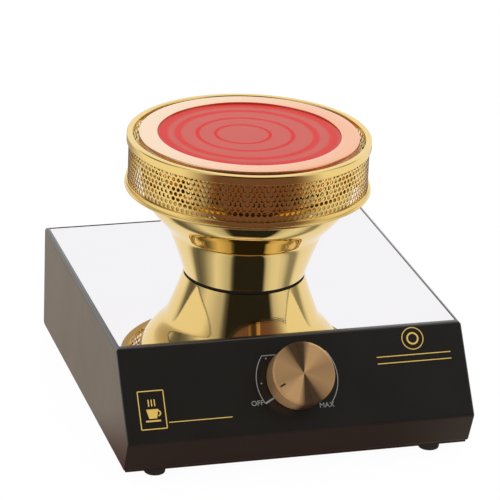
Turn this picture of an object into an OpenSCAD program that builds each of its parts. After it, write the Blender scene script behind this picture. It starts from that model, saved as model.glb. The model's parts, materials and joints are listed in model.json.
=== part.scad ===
// Halogen beam heater for siphon coffee: a low sheet-metal base with a mirror top plate,
// and a gold lamp head with a red glass window and a perforated collar on top of it.
// Origin: middle of the whole outline, on the surface that the feet stand on. +Z is up, -Y is the front.

/* [Base] */
// Width of the base across the front
body_w = 200; // [180:1:240]
// Depth of the top face, from its front edge to the back
body_d = 182; // [170:1:230]
// Height of the folded housing, without the bottom plate and feet
body_h = 63; // [58:1:80]
// How far the knee of the front stands forward of the top's front edge
knee_out = 32; // [24:1:38]
// Height of the knee above the housing's bottom edge
knee_h = 19; // [14:1:24]
// How far the bottom edge goes back from the knee
toe_in = 7.5; // [4:0.5:10]
// Outer radius of the folded edges
bend_r = 2.4; // [1.6:0.2:4]
// Thickness of the housing sheet
sheet_t = 1.2; // [0.8:0.1:1.5]
// Width of the folded rim round the top plate
rim_w = 2.4; // [2:0.1:4]
// Width of the flanges inside the housing, from the outside of the wall
flange_w = 13; // [12:0.5:15]
// Thickness of the bottom plate
base_t = 1.2; // [0.8:0.1:1.5]

/* [Top plate] */
// Thickness of the mirror plate
plate_t = 1; // [0.8:0.1:1.5]
// How far the plate lies below the rim
plate_drop = 0.3; // [0:0.1:0.6]

/* [Feet] */
// Height of a rubber foot
foot_h = 5.4; // [3:0.2:8]
// Radius of a rubber foot at its top
foot_r = 6.4; // [5:0.2:9]
// Distance from a foot's centre to the side of the housing
foot_side = 20; // [17:0.5:26]
// Distance from a foot's centre to the back and to the toe of the housing
foot_end = 10; // [8.5:0.5:10]

/* [Control] */
// Distance of the knob's axis up the sloping panel from the knee
knob_up = 29.3; // [25:0.1:32]
// Radius of the knob
knob_r = 17.8; // [15:0.1:20]
// Distance from the panel to the knob's face
knob_h = 15.5; // [14:0.1:20]
// Wall of the knob
knob_wall = 2; // [1.2:0.1:2.6]
// Radius of the control's shaft
shaft_r = 3; // [2.5:0.1:3]
// Radius of the control's threaded bush
bush_r = 4; // [3.8:0.1:4.6]
// Radius of the control's body behind the panel
pot_r = 8.5; // [7:0.1:10]
// Depth of the control's body
pot_d = 10; // [8:0.5:12]

/* [Lamp head] */
// Distance of the lamp head's axis behind the top's front edge
lamp_back = 96; // [90:1:120]
// Radius of the bell at its foot
neck_r = 35.5; // [33:0.1:38]
// Radius of the bell's straight drum
drum_r = 61.4; // [59:0.1:62]
// Height of the glass ring's face above the top plate
head_h = 85.3; // [80:0.1:95]
// Wall of the bell
bell_wall = 1; // [0.8:0.1:1.2]
// Radius of the air passage through the neck
neck_hole_r = 24; // [20:0.5:25]
// Thickness of the gasket under the bell
gasket_t = 1; // [0.5:0.1:2]

/* [Window] */
// Outer radius of the glass ring
ring_r = 63.5; // [63.5:0.1:65]
// Radius of the opening in the glass ring
view_r = 52.8; // [50:0.1:54]
// Thickness of the glass ring's lip
lip_t = 1.2; // [0.8:0.1:2]
// Radius of the glass disc
glass_r = 56.5; // [55:0.1:58]
// Thickness of the glass disc
glass_t = 4; // [3:0.1:5]
// Thickness of the seal under the glass
seal_t = 1.5; // [1:0.1:2]

/* [Collar] */
// Radius of the perforated sleeve
sleeve_r = 69.2; // [68.4:0.1:72]
// Thickness of the perforated sleeve
sleeve_t = 0.6; // [0.5:0.1:0.8]
// Height of the top of the collar above the top plate
collar_top = 84.4; // [82:0.1:90]
// Height of the whole collar
collar_h = 31.5; // [28:0.1:33]
// Height of the band that caps the sleeve's upper edge
top_band = 5.1; // [4:0.1:7]
// Height of the band that caps the sleeve's lower edge
low_band = 4.1; // [4:0.1:6]
// Width of the rims, measured inwards
rim_depth = 3.7; // [3:0.1:4]
// Number of brackets that hold the collar
bracket_n = 3; // [3:1:6]

/* [Lamp] */
// Radius of the lamp's quartz capsule
bulb_r = 6.5; // [5:0.1:8]
// Height of the lamp's quartz capsule above its pinch
bulb_h = 22; // [16:1:26]
// Depth of the reflector bowl
bowl_d = 41; // [36:0.5:44]
// Thickness of the reflector sheet
bowl_t = 0.6; // [0.4:0.1:0.8]

/* [Fan] */
// Side of the square fan
fan_w = 60; // [50:1:60]
// Depth of the fan
fan_d = 15; // [12:1:25]
// Number of fan blades
blade_n = 7; // [5:1:9]

/* [Power inlet] */
// Distance of the inlet's centre from the middle, towards the left
inlet_x = 55; // [40:1:60]
// Height of the inlet's centre above the housing's bottom edge
inlet_up = 32; // [25:1:36]

/* [Fits] */
// Radial play of a screw in its hole
screw_play = 0.1; // [0.05:0.05:0.3]
// Radial play of a shaft that turns in its bush
turn_play = 0.05; // [0.02:0.01:0.1]
// Gap round a plate or disc that drops into its seat
seat_gap = 0.15; // [0.05:0.05:0.3]
// Gap between a turning piece and what stands still beside it
run_gap = 0.7; // [0.4:0.1:1.5]

/* [Hidden] */
$fn = 48;
e = 0.01;

// Levels, from the ground up
plate_low = foot_h;
shell_low = foot_h + base_t;
shell_top = shell_low + body_h;
plate_top = shell_top - plate_drop;
ledge_top = plate_top - plate_t;
ledge_low = ledge_top - sheet_t;
bell_low = plate_top + gasket_t;
ring_top = plate_top + head_h;
lip_low = ring_top - lip_t;
glass_top = lip_low - seat_gap;
glass_low = glass_top - glass_t;
seal_low = glass_low - seal_t;
shelf_top = seal_low - bowl_t;
shelf_t = 1;

knob_bevel = 0.9;
knob_gap = run_gap;

// The sloping front panel: its length, its lean from the vertical and the knob's place on it
slope_h = body_h - knee_h;
slope_len = norm([knee_out, slope_h]);
lean = atan2(knee_out, slope_h);
knob_reach = knee_out - knob_up * sin(lean) + knob_h * cos(lean) + (knob_r - knob_bevel) * sin(lean);

// Places front to back: the outline from the knob to the inlet's flange is centred on the origin
inlet_flange_t = 2;
front_y = (knob_reach - body_d - inlet_flange_t) / 2;
back_y = front_y + body_d;
knee_y = front_y - knee_out;
toe_y = knee_y + toe_in;
lamp_y = front_y + lamp_back;
side_x = body_w / 2;
knob_y = knee_y + knob_up * sin(lean);
knob_z = shell_low + knee_h + knob_up * cos(lean);

// Screw sizes
m3 = 1.5;
m4 = 2;
head3 = 2.8;
head4 = 3.8;
nut3 = 3.1;
nut4 = 4;

// ---- shapes used more than once ----
function unit(v) = v / norm(v);

// A corner b of a convex outline, between a and c, rounded to radius r in n steps
function corner(a, b, c, r, n) =
  let (
    u = unit(a - b),
    w = unit(c - b),
    half = acos(u * w) / 2,
    m = b + unit(u + w) * r / sin(half),
    s = b + u * r / tan(half) - m,
    f = b + w * r / tan(half) - m,
    from = atan2(s[1], s[0]),
    turn = (atan2(f[1], f[0]) - from + 540) % 360 - 180
  ) [for (i = [0:n]) m + r * [cos(from + turn * i / n), sin(from + turn * i / n)]];

function neighbours(pts, i) = [pts[(i + len(pts) - 1) % len(pts)], pts[i], pts[(i + 1) % len(pts)]];

function rounded(pts, r, n = 5) = [
  for (i = [0:len(pts) - 1]) let (q = neighbours(pts, i)) each corner(q[0], q[1], q[2], r, n)
];

// A convex outline moved inwards by t
function inset(pts, t) = [
  for (i = [0:len(pts) - 1])
    let (q = neighbours(pts, i), u = unit(q[0] - q[1]), w = unit(q[2] - q[1]), half = acos(u * w) / 2)
      q[1] + unit(u + w) * t / sin(half)
];

// A cubic curve through a and d with handles b and c
function curve(a, b, c, d, n) = [
  for (i = [0:n])
    let (t = i / n)
      pow(1 - t, 3) * a + 3 * pow(1 - t, 2) * t * b + 3 * (1 - t) * t * t * c + pow(t, 3) * d
];

// An outline in Y and Z, extruded along X and centred
module along_x(width) {
  translate([-width / 2, 0, 0])
    rotate([90, 0, 90])
      linear_extrude(width) children();
}

module block(low, high) {
  translate(low) cube(high - low);
}

module tube(r_out, r_in, height, sides = 96) {
  difference() {
    cylinder(r = r_out, h = height, $fn = sides);
    translate([0, 0, -1]) cylinder(r = r_in, h = height + 2, $fn = sides);
  }
}

// A machine screw: the head's underside at the origin, the shank down, a cross recess in the head
module screw(r, head_r, head_h, length) {
  difference() {
    union() {
      cylinder(r = head_r, h = head_h, $fn = 32);
      translate([0, 0, -length]) cylinder(r = r, h = length + e, $fn = 24);
    }
    for (turn = [0, 90]) {
      rotate([0, 0, turn])
        translate([-head_r * 0.6, -head_r * 0.12, head_h * 0.45])
          cube([head_r * 1.2, head_r * 0.24, head_h]);
    }
  }
}

// A hexagon nut with its lower face at the origin
module nut(r, nut_r, height) {
  difference() {
    cylinder(r = nut_r, h = height, $fn = 6);
    translate([0, 0, -1]) cylinder(r = r + screw_play / 2, h = height + 2, $fn = 24);
  }
}

// Children repeated round the lamp head's axis
module round_lamp(count, start = 0) {
  for (i = [0:count - 1]) {
    translate([0, lamp_y, 0]) rotate([0, 0, start + i * 360 / count]) children();
  }
}

// Local frame of the control: origin on the panel's outer face, +Z out of it, +Y up the slope
module on_panel() {
  translate([0, knob_y, knob_z]) rotate([90 - lean, 0, 0]) children();
}

// ---- housing ----
profile = [
  [back_y, shell_low],
  [back_y, shell_top],
  [front_y, shell_top],
  [knee_y, shell_low + knee_h],
  [toe_y, shell_low]
];

// Places of the bottom plate's screws, on the middle of the housing's bottom flange
flange_mid = flange_w / 2 + sheet_t / 2;
bottom_screw_inset = 34;
bottom_screw_at = [
  for (x = [-side_x + flange_mid, side_x - flange_mid])
    for (y = [toe_y + bottom_screw_inset, lamp_y, back_y - bottom_screw_inset]) [x, y]
];
foot_at = [
  for (x = [-side_x + foot_side, side_x - foot_side]) for (y = [toe_y + foot_end, back_y - foot_end]) [x, y]
];
// Places of the mirror plate's studs, on the middle of the top ledge
stud_mid = rim_w + (flange_w - rim_w) / 2;
stud_inset = stud_mid + 18;
stud_at = [
  for (x = [-side_x + stud_mid, side_x - stud_mid])
    for (y = [front_y + stud_inset, back_y - stud_inset]) [x, y]
];
// Air slots across the back, counted from the first one beside the middle
vent_n = 8;
vent_x = 8;
vent_w = 3;
vent_h = 22;
vent_pitch = 8;
inlet_z = shell_low + inlet_up;
inlet_w = 27;
inlet_h = 20;
inlet_d = 24;
inlet_flange_w = 50;
inlet_flange_h = 25;
inlet_screw_x = 20;

module at_inlet() {
  translate([-inlet_x, back_y, inlet_z]) children();
}

module inlet_hole(grow) {
  block([-inlet_w / 2 - grow, -sheet_t - 1, -inlet_h / 2 - grow],
        [inlet_w / 2 + grow, 1, inlet_h / 2 + grow]);
}

module base_shell() {
  color([0.12, 0.1, 0.09])
    difference() {
      along_x(body_w) polygon(rounded(profile, bend_r));
      intersection() {
        along_x(body_w - 2 * sheet_t) polygon(rounded(inset(profile, sheet_t), bend_r - sheet_t));
        block([-body_w, -body_w * 2, 0], [body_w, body_w * 2, ledge_low]);
      }
      // seat of the mirror plate, and the window inside its ledge
      block([-side_x + rim_w, front_y + rim_w, ledge_top], [side_x - rim_w, back_y - rim_w, shell_top + 1]);
      block([-side_x + flange_w, front_y + flange_w, ledge_low - 1],
            [side_x - flange_w, back_y - flange_w, shell_top + 1]);
      // window inside the bottom flange
      block([-side_x + flange_w, toe_y + flange_w, shell_low - 1],
            [side_x - flange_w, back_y - flange_w, shell_low + sheet_t + 1]);
      for (p = concat(bottom_screw_at, foot_at)) {
        translate([p[0], p[1], shell_low - 1]) cylinder(r = m3 + screw_play / 2, h = sheet_t + 2, $fn = 24);
      }
      for (p = stud_at) {
        translate([p[0], p[1], ledge_low - 1]) cylinder(r = m3 + screw_play, h = sheet_t + 2, $fn = 24);
      }
      on_panel() translate([0, 0, -sheet_t - 2]) cylinder(r = bush_r + screw_play, h = sheet_t + 4);
      at_inlet() inlet_hole(screw_play);
      for (side = [-1, 1]) {
        at_inlet() translate([side * inlet_screw_x, 1, 0]) rotate([90, 0, 0])
          cylinder(r = m3 + screw_play, h = sheet_t + 2, $fn = 24);
      }
      // air slots across the back
      for (i = [0:vent_n - 1]) {
        block([vent_x + i * vent_pitch, back_y - sheet_t - 1, inlet_z - vent_h / 2],
              [vent_x + i * vent_pitch + vent_w, back_y + 1, inlet_z + vent_h / 2]);
      }
    }
}

plate_edge = 1.2;
fan_hole = fan_w / 2 - 5;
fan_at = [for (x = [-fan_hole, fan_hole]) for (y = [lamp_y - fan_hole, lamp_y + fan_hole]) [x, y]];

// Air slots under the fan, in two rows with a bar between them
slot_pitch = 5;
slot_w = 2.6;
slot_bar = 5;
slot_reach = 24;

module bottom_plate() {
  color([0.2, 0.2, 0.2])
    difference() {
      block([-side_x + plate_edge, toe_y + plate_edge, plate_low],
            [side_x - plate_edge, back_y - plate_edge, shell_low]);
      for (p = bottom_screw_at) {
        translate([p[0], p[1], plate_low - 1]) cylinder(r = m3 + screw_play, h = base_t + 2, $fn = 24);
      }
      for (p = concat(foot_at, fan_at, post_at, [earth_at])) {
        translate([p[0], p[1], plate_low - 1]) cylinder(r = m3 + screw_play, h = base_t + 2, $fn = 24);
      }
      for (i = [-4:4]) {
        mid = i * slot_pitch;
        reach = slot_reach - abs(mid) / 2;
        for (ends = [[-reach, -slot_bar / 2], [slot_bar / 2, reach]]) {
          block([mid - slot_w / 2, lamp_y + ends[0], plate_low - 1],
                [mid + slot_w / 2, lamp_y + ends[1], shell_low + 1]);
        }
      }
    }
}

module bottom_screws() {
  color([0.55, 0.55, 0.57])
    for (p = bottom_screw_at) {
      translate([p[0], p[1], plate_low]) mirror([0, 0, 1]) screw(m3, head3, 1.7, base_t + sheet_t + 3);
    }
}

foot_screw_head = 1.6;

module rubber_feet() {
  color([0.06, 0.06, 0.06])
    for (p = foot_at) {
      translate([p[0], p[1], 0])
        difference() {
          cylinder(r1 = foot_r - 0.5, r2 = foot_r, h = foot_h);
          translate([0, 0, -1]) cylinder(r = head3 + 0.4, h = 1 + foot_screw_head + 0.6);
          cylinder(r = m3 + screw_play, h = foot_h + 1, $fn = 24);
        }
    }
}

module foot_screws() {
  color([0.6, 0.6, 0.62])
    for (p = foot_at) {
      translate([p[0], p[1], foot_screw_head + 0.6]) mirror([0, 0, 1])
        screw(m3, head3, foot_screw_head, foot_h - foot_screw_head - 0.6 + base_t + 2.5);
    }
}

// ---- top plate ----
neck_screw_r = (neck_hole_r + neck_r - bell_wall) / 2;

module neck_holes(low, height) {
  round_lamp(4, 45) translate([neck_screw_r, 0, low]) cylinder(r = m4 + screw_play, h = height, $fn = 24);
}

stud_len = 5.5;

module mirror_plate() {
  color([0.9, 0.9, 0.92])
    union() {
      difference() {
        block([-side_x + rim_w + seat_gap, front_y + rim_w + seat_gap, ledge_top],
              [side_x - rim_w - seat_gap, back_y - rim_w - seat_gap, plate_top]);
        translate([0, lamp_y, ledge_top - 1]) cylinder(r = neck_hole_r, h = plate_t + 2, $fn = 96);
        neck_holes(ledge_top - 1, plate_t + 2);
      }
      for (p = stud_at) {
        translate([p[0], p[1], ledge_top - stud_len]) cylinder(r = m3, h = stud_len + e, $fn = 24);
      }
    }
}

module plate_nuts() {
  color([0.7, 0.68, 0.6])
    for (p = stud_at) {
      translate([p[0], p[1], ledge_low - 2.4]) nut(m3, nut3, 2.4);
    }
}

// ---- lamp head ----
// Outer line of the bell from its foot to the drum: a long slow cone, a quick flare, a round shoulder
bell_line = concat(
  curve([neck_r, 0], [neck_r + 2.4, 8], [neck_r + 6, 18], [neck_r + 9.2, 25.5], 9),
  curve([neck_r + 9.6, 26.3], [neck_r + 11.3, 30], [drum_r - 6.9, 36], [drum_r - 3.8, 42.5], 9),
  curve([drum_r - 3.5, 43.2], [drum_r - 2.2, 46], [drum_r, 53], [drum_r, 61], 7)
);
drum_top = lip_low - seat_gap;
bell_out = concat([for (p = bell_line) [p[0], p[1] + bell_low]], [[drum_r, drum_top]]);
bell_in = [
  for (i = [len(bell_out) - 1:-1:0])
    [bell_out[i][0] - bell_wall, max(bell_out[i][1], bell_low + bell_wall)]
];
rivet_r = 1.2;
rivet_z = plate_top + 66;
ring_screw_z = lip_low - 2.6;

module bell() {
  color([0.85, 0.65, 0.3])
    difference() {
      union() {
        translate([0, lamp_y, 0]) rotate_extrude($fn = 96) polygon(concat(bell_out, bell_in));
        // foot flange inside the neck, and the shelf that carries reflector and glass
        translate([0, lamp_y, bell_low]) tube(neck_r - bell_wall / 2, neck_hole_r, bell_wall);
        translate([0, lamp_y, shelf_top - shelf_t]) tube(drum_r - bell_wall / 2, view_r - 1, shelf_t);
      }
      neck_holes(bell_low - 1, bell_wall + 2);
      round_lamp(bracket_n, 90) translate([drum_r - bell_wall - 1, 0, rivet_z]) rotate([0, 90, 0])
        cylinder(r = rivet_r + screw_play / 2, h = bell_wall + 2, $fn = 24);
      round_lamp(3, 30) translate([drum_r - bell_wall - 1, 0, ring_screw_z]) rotate([0, 90, 0])
        cylinder(r = rivet_r + screw_play / 2, h = bell_wall + 2, $fn = 24);
    }
}

module neck_gasket() {
  color([0.1, 0.1, 0.1])
    difference() {
      translate([0, lamp_y, plate_top]) tube(neck_r - 0.6, neck_hole_r, gasket_t);
      neck_holes(plate_top - 1, gasket_t + 2);
    }
}

clamp_t = 2;

module neck_clamp() {
  color([0.6, 0.6, 0.62])
    difference() {
      translate([0, lamp_y, ledge_top - clamp_t]) tube(neck_r - 0.6, neck_hole_r, clamp_t);
      neck_holes(ledge_top - clamp_t - 1, clamp_t + 2);
    }
}

neck_nut_h = 3;
neck_grip = bell_wall + gasket_t + plate_t + clamp_t;

module neck_screws() {
  color([0.7, 0.7, 0.72])
    round_lamp(4, 45) translate([neck_screw_r, 0, bell_low + bell_wall])
      screw(m4, head4, 2.4, neck_grip + neck_nut_h + 1);
}

module neck_nuts() {
  color([0.7, 0.68, 0.6])
    round_lamp(4, 45) translate([neck_screw_r, 0, ledge_top - clamp_t - neck_nut_h])
      nut(m4, nut4, neck_nut_h);
}

// ---- reflector and lamp ----
bowl_rim_r = view_r - 2;
bowl_floor_r = 19;
bowl_floor = shelf_top + bowl_t - bowl_d;
bowl_line = curve([bowl_floor_r, bowl_floor], [bowl_floor_r + 17, bowl_floor + 5],
                  [bowl_rim_r - 4, bowl_floor + 24], [bowl_rim_r, shelf_top], 12);
flange_r = glass_r - 0.5;
lamp_hole_r = 7.6;
bracket_screw_x = 14;

module reflector() {
  color([0.8, 0.8, 0.82])
    difference() {
      translate([0, lamp_y, 0])
        rotate_extrude($fn = 96)
          polygon(concat(
            [[lamp_hole_r, bowl_floor], [lamp_hole_r, bowl_floor - bowl_t]],
            [[bowl_floor_r, bowl_floor - bowl_t]],
            [
              for (i = [1:len(bowl_line) - 1])
                [bowl_line[i][0] + bowl_t, bowl_line[i][1] - bowl_t * (1 - i / 12)]
            ],
            [[flange_r, shelf_top], [flange_r, shelf_top + bowl_t], [bowl_rim_r, shelf_top + bowl_t]],
            [for (i = [len(bowl_line) - 1:-1:0]) bowl_line[i]]
          ));
      for (side = [-1, 1]) {
        translate([side * bracket_screw_x, lamp_y, bowl_floor - bowl_t - 1])
          cylinder(r = m3 + screw_play, h = bowl_t + 2, $fn = 24);
      }
    }
}

strap_t = 1.2;
strap_top = bowl_floor - bowl_t;
strap_low = strap_top - strap_t;
strap_w = 18;
strap_reach = 18;
cutout_y = 26;
cutout_r = 7;
cutout_stud_r = 2;

module lamp_bracket() {
  color([0.65, 0.65, 0.67])
    difference() {
      union() {
        block([-strap_reach, lamp_y - strap_w / 2, strap_low],
              [strap_reach, lamp_y + strap_w / 2, strap_top]);
        block([-strap_w / 2, lamp_y, strap_low],
              [strap_w / 2, lamp_y + cutout_y + cutout_r + 1, strap_top]);
      }
      translate([0, lamp_y, strap_low - 1]) cylinder(r = lamp_hole_r, h = strap_t + 2);
      for (side = [-1, 1]) {
        translate([side * bracket_screw_x, lamp_y, strap_low - 1])
          cylinder(r = m3 + screw_play, h = strap_t + 2, $fn = 24);
      }
      translate([0, lamp_y + cutout_y, strap_low - 1])
        cylinder(r = cutout_stud_r + screw_play, h = strap_t + 2, $fn = 24);
    }
}

socket_r = 9;
socket_h = 14;
socket_low = strap_low - socket_h;
ear_t = 4;
pin_x = 3.2;
pin_r = 0.7;
socket_face = bowl_floor + 2;

module lamp_socket() {
  color([0.93, 0.92, 0.88])
    difference() {
      union() {
        translate([0, lamp_y, socket_low]) cylinder(r = socket_r, h = socket_h);
        translate([0, lamp_y, strap_low - e])
          cylinder(r = lamp_hole_r - 0.3, h = socket_face - strap_low + e);
        block([-strap_reach, lamp_y - 5, strap_low - ear_t], [strap_reach, lamp_y + 5, strap_low]);
      }
      for (side = [-1, 1]) {
        translate([side * bracket_screw_x, lamp_y, strap_low - ear_t - 1])
          cylinder(r = m3 + screw_play, h = ear_t + 2, $fn = 24);
        translate([side * pin_x, lamp_y, socket_face - 9]) cylinder(r = pin_r + 0.05, h = 10, $fn = 24);
      }
    }
}

module socket_screws() {
  color([0.7, 0.7, 0.72])
    for (side = [-1, 1]) {
      translate([side * bracket_screw_x, lamp_y, bowl_floor])
        screw(m3, head3, 1.7, bowl_t + strap_t + ear_t + 3.4);
    }
}

module socket_nuts() {
  color([0.7, 0.68, 0.6])
    for (side = [-1, 1]) {
      translate([side * bracket_screw_x, lamp_y, strap_low - ear_t - 2.4]) nut(m3, nut3, 2.4);
    }
}

pinch_h = 8;
capsule_low = socket_face + 0.3;
capsule_base = capsule_low + pinch_h;
capsule_wall = 1;

filament_low = capsule_base + 2.5;

module lamp_capsule() {
  color([0.85, 0.87, 0.9, 0.5])
    translate([0, lamp_y, 0])
      difference() {
        union() {
          translate([-5, -2.5, capsule_low]) cube([10, 5, pinch_h + 2]);
          translate([0, 0, capsule_base]) cylinder(r = bulb_r, h = bulb_h - bulb_r);
          translate([0, 0, capsule_base + bulb_h - bulb_r]) sphere(r = bulb_r);
          for (side = [-1, 1]) {
            translate([side * pin_x, 0, capsule_low - 8]) cylinder(r = pin_r, h = 8 + e, $fn = 24);
          }
        }
        translate([0, 0, filament_low]) cylinder(r = bulb_r - capsule_wall, h = bulb_h - bulb_r - 2.5);
        translate([0, 0, capsule_base + bulb_h - bulb_r]) sphere(r = bulb_r - capsule_wall);
      }
}

coil_low = filament_low + 4.4;
filament_r = 2.2;

module lamp_filament() {
  color([0.9, 0.75, 0.45])
    translate([0, lamp_y, 0])
      union() {
        for (side = [-1, 1]) {
          translate([side * pin_x, 0, filament_low]) cylinder(r = 0.4, h = 6, $fn = 16);
        }
        for (i = [0:5]) {
          translate([0, 0, coil_low + i * 1.5])
            rotate_extrude($fn = 32) translate([filament_r, 0]) circle(r = 0.4, $fn = 16);
        }
        for (side = [-1, 1]) {
          translate([side * filament_r, 0, coil_low]) {
            cylinder(r = 0.35, h = 7.5, $fn = 16);
            rotate([0, side * 90, 0]) cylinder(r = 0.35, h = 1.1, $fn = 16);
          }
        }
      }
}

module thermal_cutout() {
  color([0.75, 0.72, 0.65])
    translate([0, lamp_y + cutout_y, 0])
      union() {
        translate([0, 0, strap_low - 5]) cylinder(r = cutout_r, h = 5);
        // stud held in the bracket's hole
        translate([0, 0, strap_low - e]) cylinder(r = cutout_stud_r, h = strap_t + e, $fn = 24);
        for (side = [-1, 1]) {
          translate([side * 4 - 1.5, -0.4, strap_low - 11]) cube([3, 0.8, 6 + e]);
        }
      }
}

// ---- window ----
groove_r = [15.7, 27.5, 39.8, 49];
rib_w = 1;
rib_h = 0.5;

module glass_seal() {
  color([0.75, 0.2, 0.15])
    translate([0, lamp_y, seal_low]) tube(flange_r, view_r - 0.5, seal_t);
}

module glass_window() {
  color([0.75, 0.08, 0.06, 0.6])
    translate([0, lamp_y, 0])
      union() {
        translate([0, 0, glass_low]) cylinder(r = glass_r, h = glass_t, $fn = 96);
        for (r = groove_r) {
          translate([0, 0, glass_low - rib_h]) tube(r + rib_w / 2, r - rib_w / 2, rib_h + e);
        }
      }
}

ring_skirt_h = 6;

module glass_ring() {
  skirt_in = drum_r + seat_gap;
  color([0.95, 0.72, 0.55])
    difference() {
      translate([0, lamp_y, 0])
        rotate_extrude($fn = 128)
          polygon([
            [view_r, lip_low], [skirt_in, lip_low], [skirt_in, lip_low - ring_skirt_h],
            [ring_r - 0.3, lip_low - ring_skirt_h], [ring_r, lip_low - ring_skirt_h + 0.3],
            [ring_r, ring_top - 1.1], [ring_r - 0.3, ring_top - 0.45], [ring_r - 1, ring_top],
            [view_r + 0.5, ring_top], [view_r + 0.1, ring_top - 0.2], [view_r, ring_top - 0.5]
          ]);
      round_lamp(3, 30) translate([drum_r, 0, ring_screw_z]) rotate([0, 90, 0])
        cylinder(r = rivet_r + screw_play / 2, h = ring_r - drum_r + 1, $fn = 24);
    }
}

module ring_screws() {
  color([0.8, 0.65, 0.45])
    round_lamp(3, 30)
      translate([drum_r - bell_wall - 0.6, 0, ring_screw_z]) rotate([0, 90, 0])
        difference() {
          cylinder(r = rivet_r, h = ring_r - drum_r + bell_wall + 0.6, $fn = 24);
          translate([-0.25, -2, ring_r - drum_r + bell_wall]) cube([0.5, 4, 2]);
        }
}

// ---- collar ----
collar_high = plate_top + collar_top;
collar_low = collar_high - collar_h;
band_t = 1;
band_r = sleeve_r + seat_gap + band_t;
rim_in = band_r - rim_depth;
sleeve_low = collar_low + band_t + seat_gap;
sleeve_high = collar_high - band_t - seat_gap;

module collar_sleeve() {
  color([0.9, 0.7, 0.4])
    translate([0, lamp_y, sleeve_low]) tube(sleeve_r, sleeve_r - sleeve_t, sleeve_high - sleeve_low, 128);
}

module collar_top_rim() {
  color([0.92, 0.72, 0.42])
    translate([0, lamp_y, 0])
      rotate_extrude($fn = 128)
        polygon([
          [band_r - band_t, collar_high - top_band], [band_r - 0.2, collar_high - top_band],
          [band_r, collar_high - top_band + 0.2], [band_r, collar_high - 1],
          [band_r - 0.3, collar_high - 0.3], [band_r - 1, collar_high],
          [rim_in + 0.6, collar_high], [rim_in + 0.2, collar_high - 0.2], [rim_in, collar_high - 0.6],
          [rim_in, collar_high - 3], [rim_in + 0.8, collar_high - 3],
          [rim_in + 0.8, collar_high - band_t], [band_r - band_t, collar_high - band_t]
        ]);
}

bead = 0.7;

module collar_low_rim() {
  color([0.92, 0.72, 0.42])
    translate([0, lamp_y, 0])
      rotate_extrude($fn = 128)
        polygon([
          [band_r - band_t, collar_low + low_band], [band_r - band_t, collar_low + band_t],
          [rim_in + 0.8, collar_low + band_t], [rim_in + 0.8, collar_low + 3],
          [rim_in, collar_low + 3], [rim_in, collar_low + 0.3], [rim_in + 0.3, collar_low],
          [band_r + bead - 0.4, collar_low], [band_r + bead, collar_low + 0.4],
          [band_r + bead, collar_low + 1], [band_r + bead - 0.4, collar_low + 1.4],
          [band_r - 0.2, collar_low + 1.7], [band_r - 0.2, collar_low + 2.1],
          [band_r, collar_low + 2.3], [band_r, collar_low + low_band - 0.2],
          [band_r - 0.2, collar_low + low_band]
        ]);
}

tab_t = 0.8;
tab_turn = 9;

module collar_brackets() {
  tab_in = drum_r + 0.05;
  tab_out = sleeve_r - sleeve_t - 0.05;
  color([0.85, 0.66, 0.36])
    difference() {
      round_lamp(bracket_n, 90 - tab_turn / 2)
        rotate_extrude(angle = tab_turn, $fn = 96)
          polygon([
            [tab_in, rivet_z - 4], [tab_out, rivet_z - 4],
            [tab_out, rivet_z + 4], [tab_out - tab_t, rivet_z + 4],
            [tab_out - tab_t, rivet_z - 4 + tab_t], [tab_in + tab_t, rivet_z - 4 + tab_t],
            [tab_in + tab_t, rivet_z + 4], [tab_in, rivet_z + 4]
          ]);
      round_lamp(bracket_n, 90) translate([drum_r - 1, 0, rivet_z]) rotate([0, 90, 0])
        cylinder(r = rivet_r + screw_play / 2, h = 3, $fn = 24);
    }
}

module bracket_rivets() {
  head_r = 2.2;
  rivet_in = drum_r - bell_wall;
  rivet_out = drum_r + 0.05 + tab_t;
  color([0.8, 0.62, 0.34])
    round_lamp(bracket_n, 90) translate([0, 0, rivet_z]) rotate([0, 90, 0])
      union() {
        translate([0, 0, rivet_in - 0.8]) cylinder(r = rivet_r, h = rivet_out - rivet_in + 1.6, $fn = 24);
        translate([0, 0, rivet_in - 1]) cylinder(r = head_r, h = 0.8, $fn = 24);
        translate([0, 0, rivet_out + 0.1]) cylinder(r1 = head_r, r2 = head_r * 0.7, h = 0.8, $fn = 24);
      }
}

// ---- control ----
washer_t = 0.6;
control_nut_h = 2.2;
bush_top = 5.4;
flat_cut = 0.6;
shaft_top = knob_h - 2.6;
boss_r = 5.6;
boss_low = bush_top + run_gap;
tab_len = 4;
grub_r = 1.5;
grub_h = (boss_low + shaft_top) / 2;

module shaft_shape(low, high, r) {
  difference() {
    translate([0, 0, low]) cylinder(r = r, h = high - low);
    translate([shaft_r - flat_cut, -r - 1, max(low, boss_low)]) cube([r, 2 * r + 2, high - low + 2]);
  }
}

module knob() {
  color([0.72, 0.55, 0.33])
    on_panel()
      difference() {
        rotate_extrude($fn = 96)
          polygon([
            [0, boss_low], [boss_r, boss_low], [boss_r, knob_h - knob_wall - 0.6],
            [knob_r - knob_wall, knob_h - knob_wall - 0.6], [knob_r - knob_wall, knob_gap],
            [knob_r - 0.4, knob_gap], [knob_r, knob_gap + 0.4], [knob_r, knob_h - knob_bevel],
            [knob_r - knob_bevel, knob_h], [knob_r - knob_bevel - 0.5, knob_h], [0, knob_h - 0.5]
          ]);
        shaft_shape(boss_low - 1, shaft_top + 0.2, shaft_r + turn_play / 2);
        rotate([0, 0, -45]) translate([0, 0, grub_h]) rotate([0, 90, 0])
          translate([0, 0, 1]) cylinder(r = grub_r + screw_play / 2, h = knob_r + 1, $fn = 24);
      }
}

module knob_screw() {
  color([0.3, 0.3, 0.32])
    on_panel()
      rotate([0, 0, -45]) translate([0, 0, grub_h]) rotate([0, 90, 0])
        difference() {
          translate([0, 0, shaft_r + 0.1]) cylinder(r = grub_r, h = 4, $fn = 24);
          translate([0, 0, shaft_r + 2.6]) cylinder(r = 0.9, h = 3, $fn = 6);
        }
}

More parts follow.
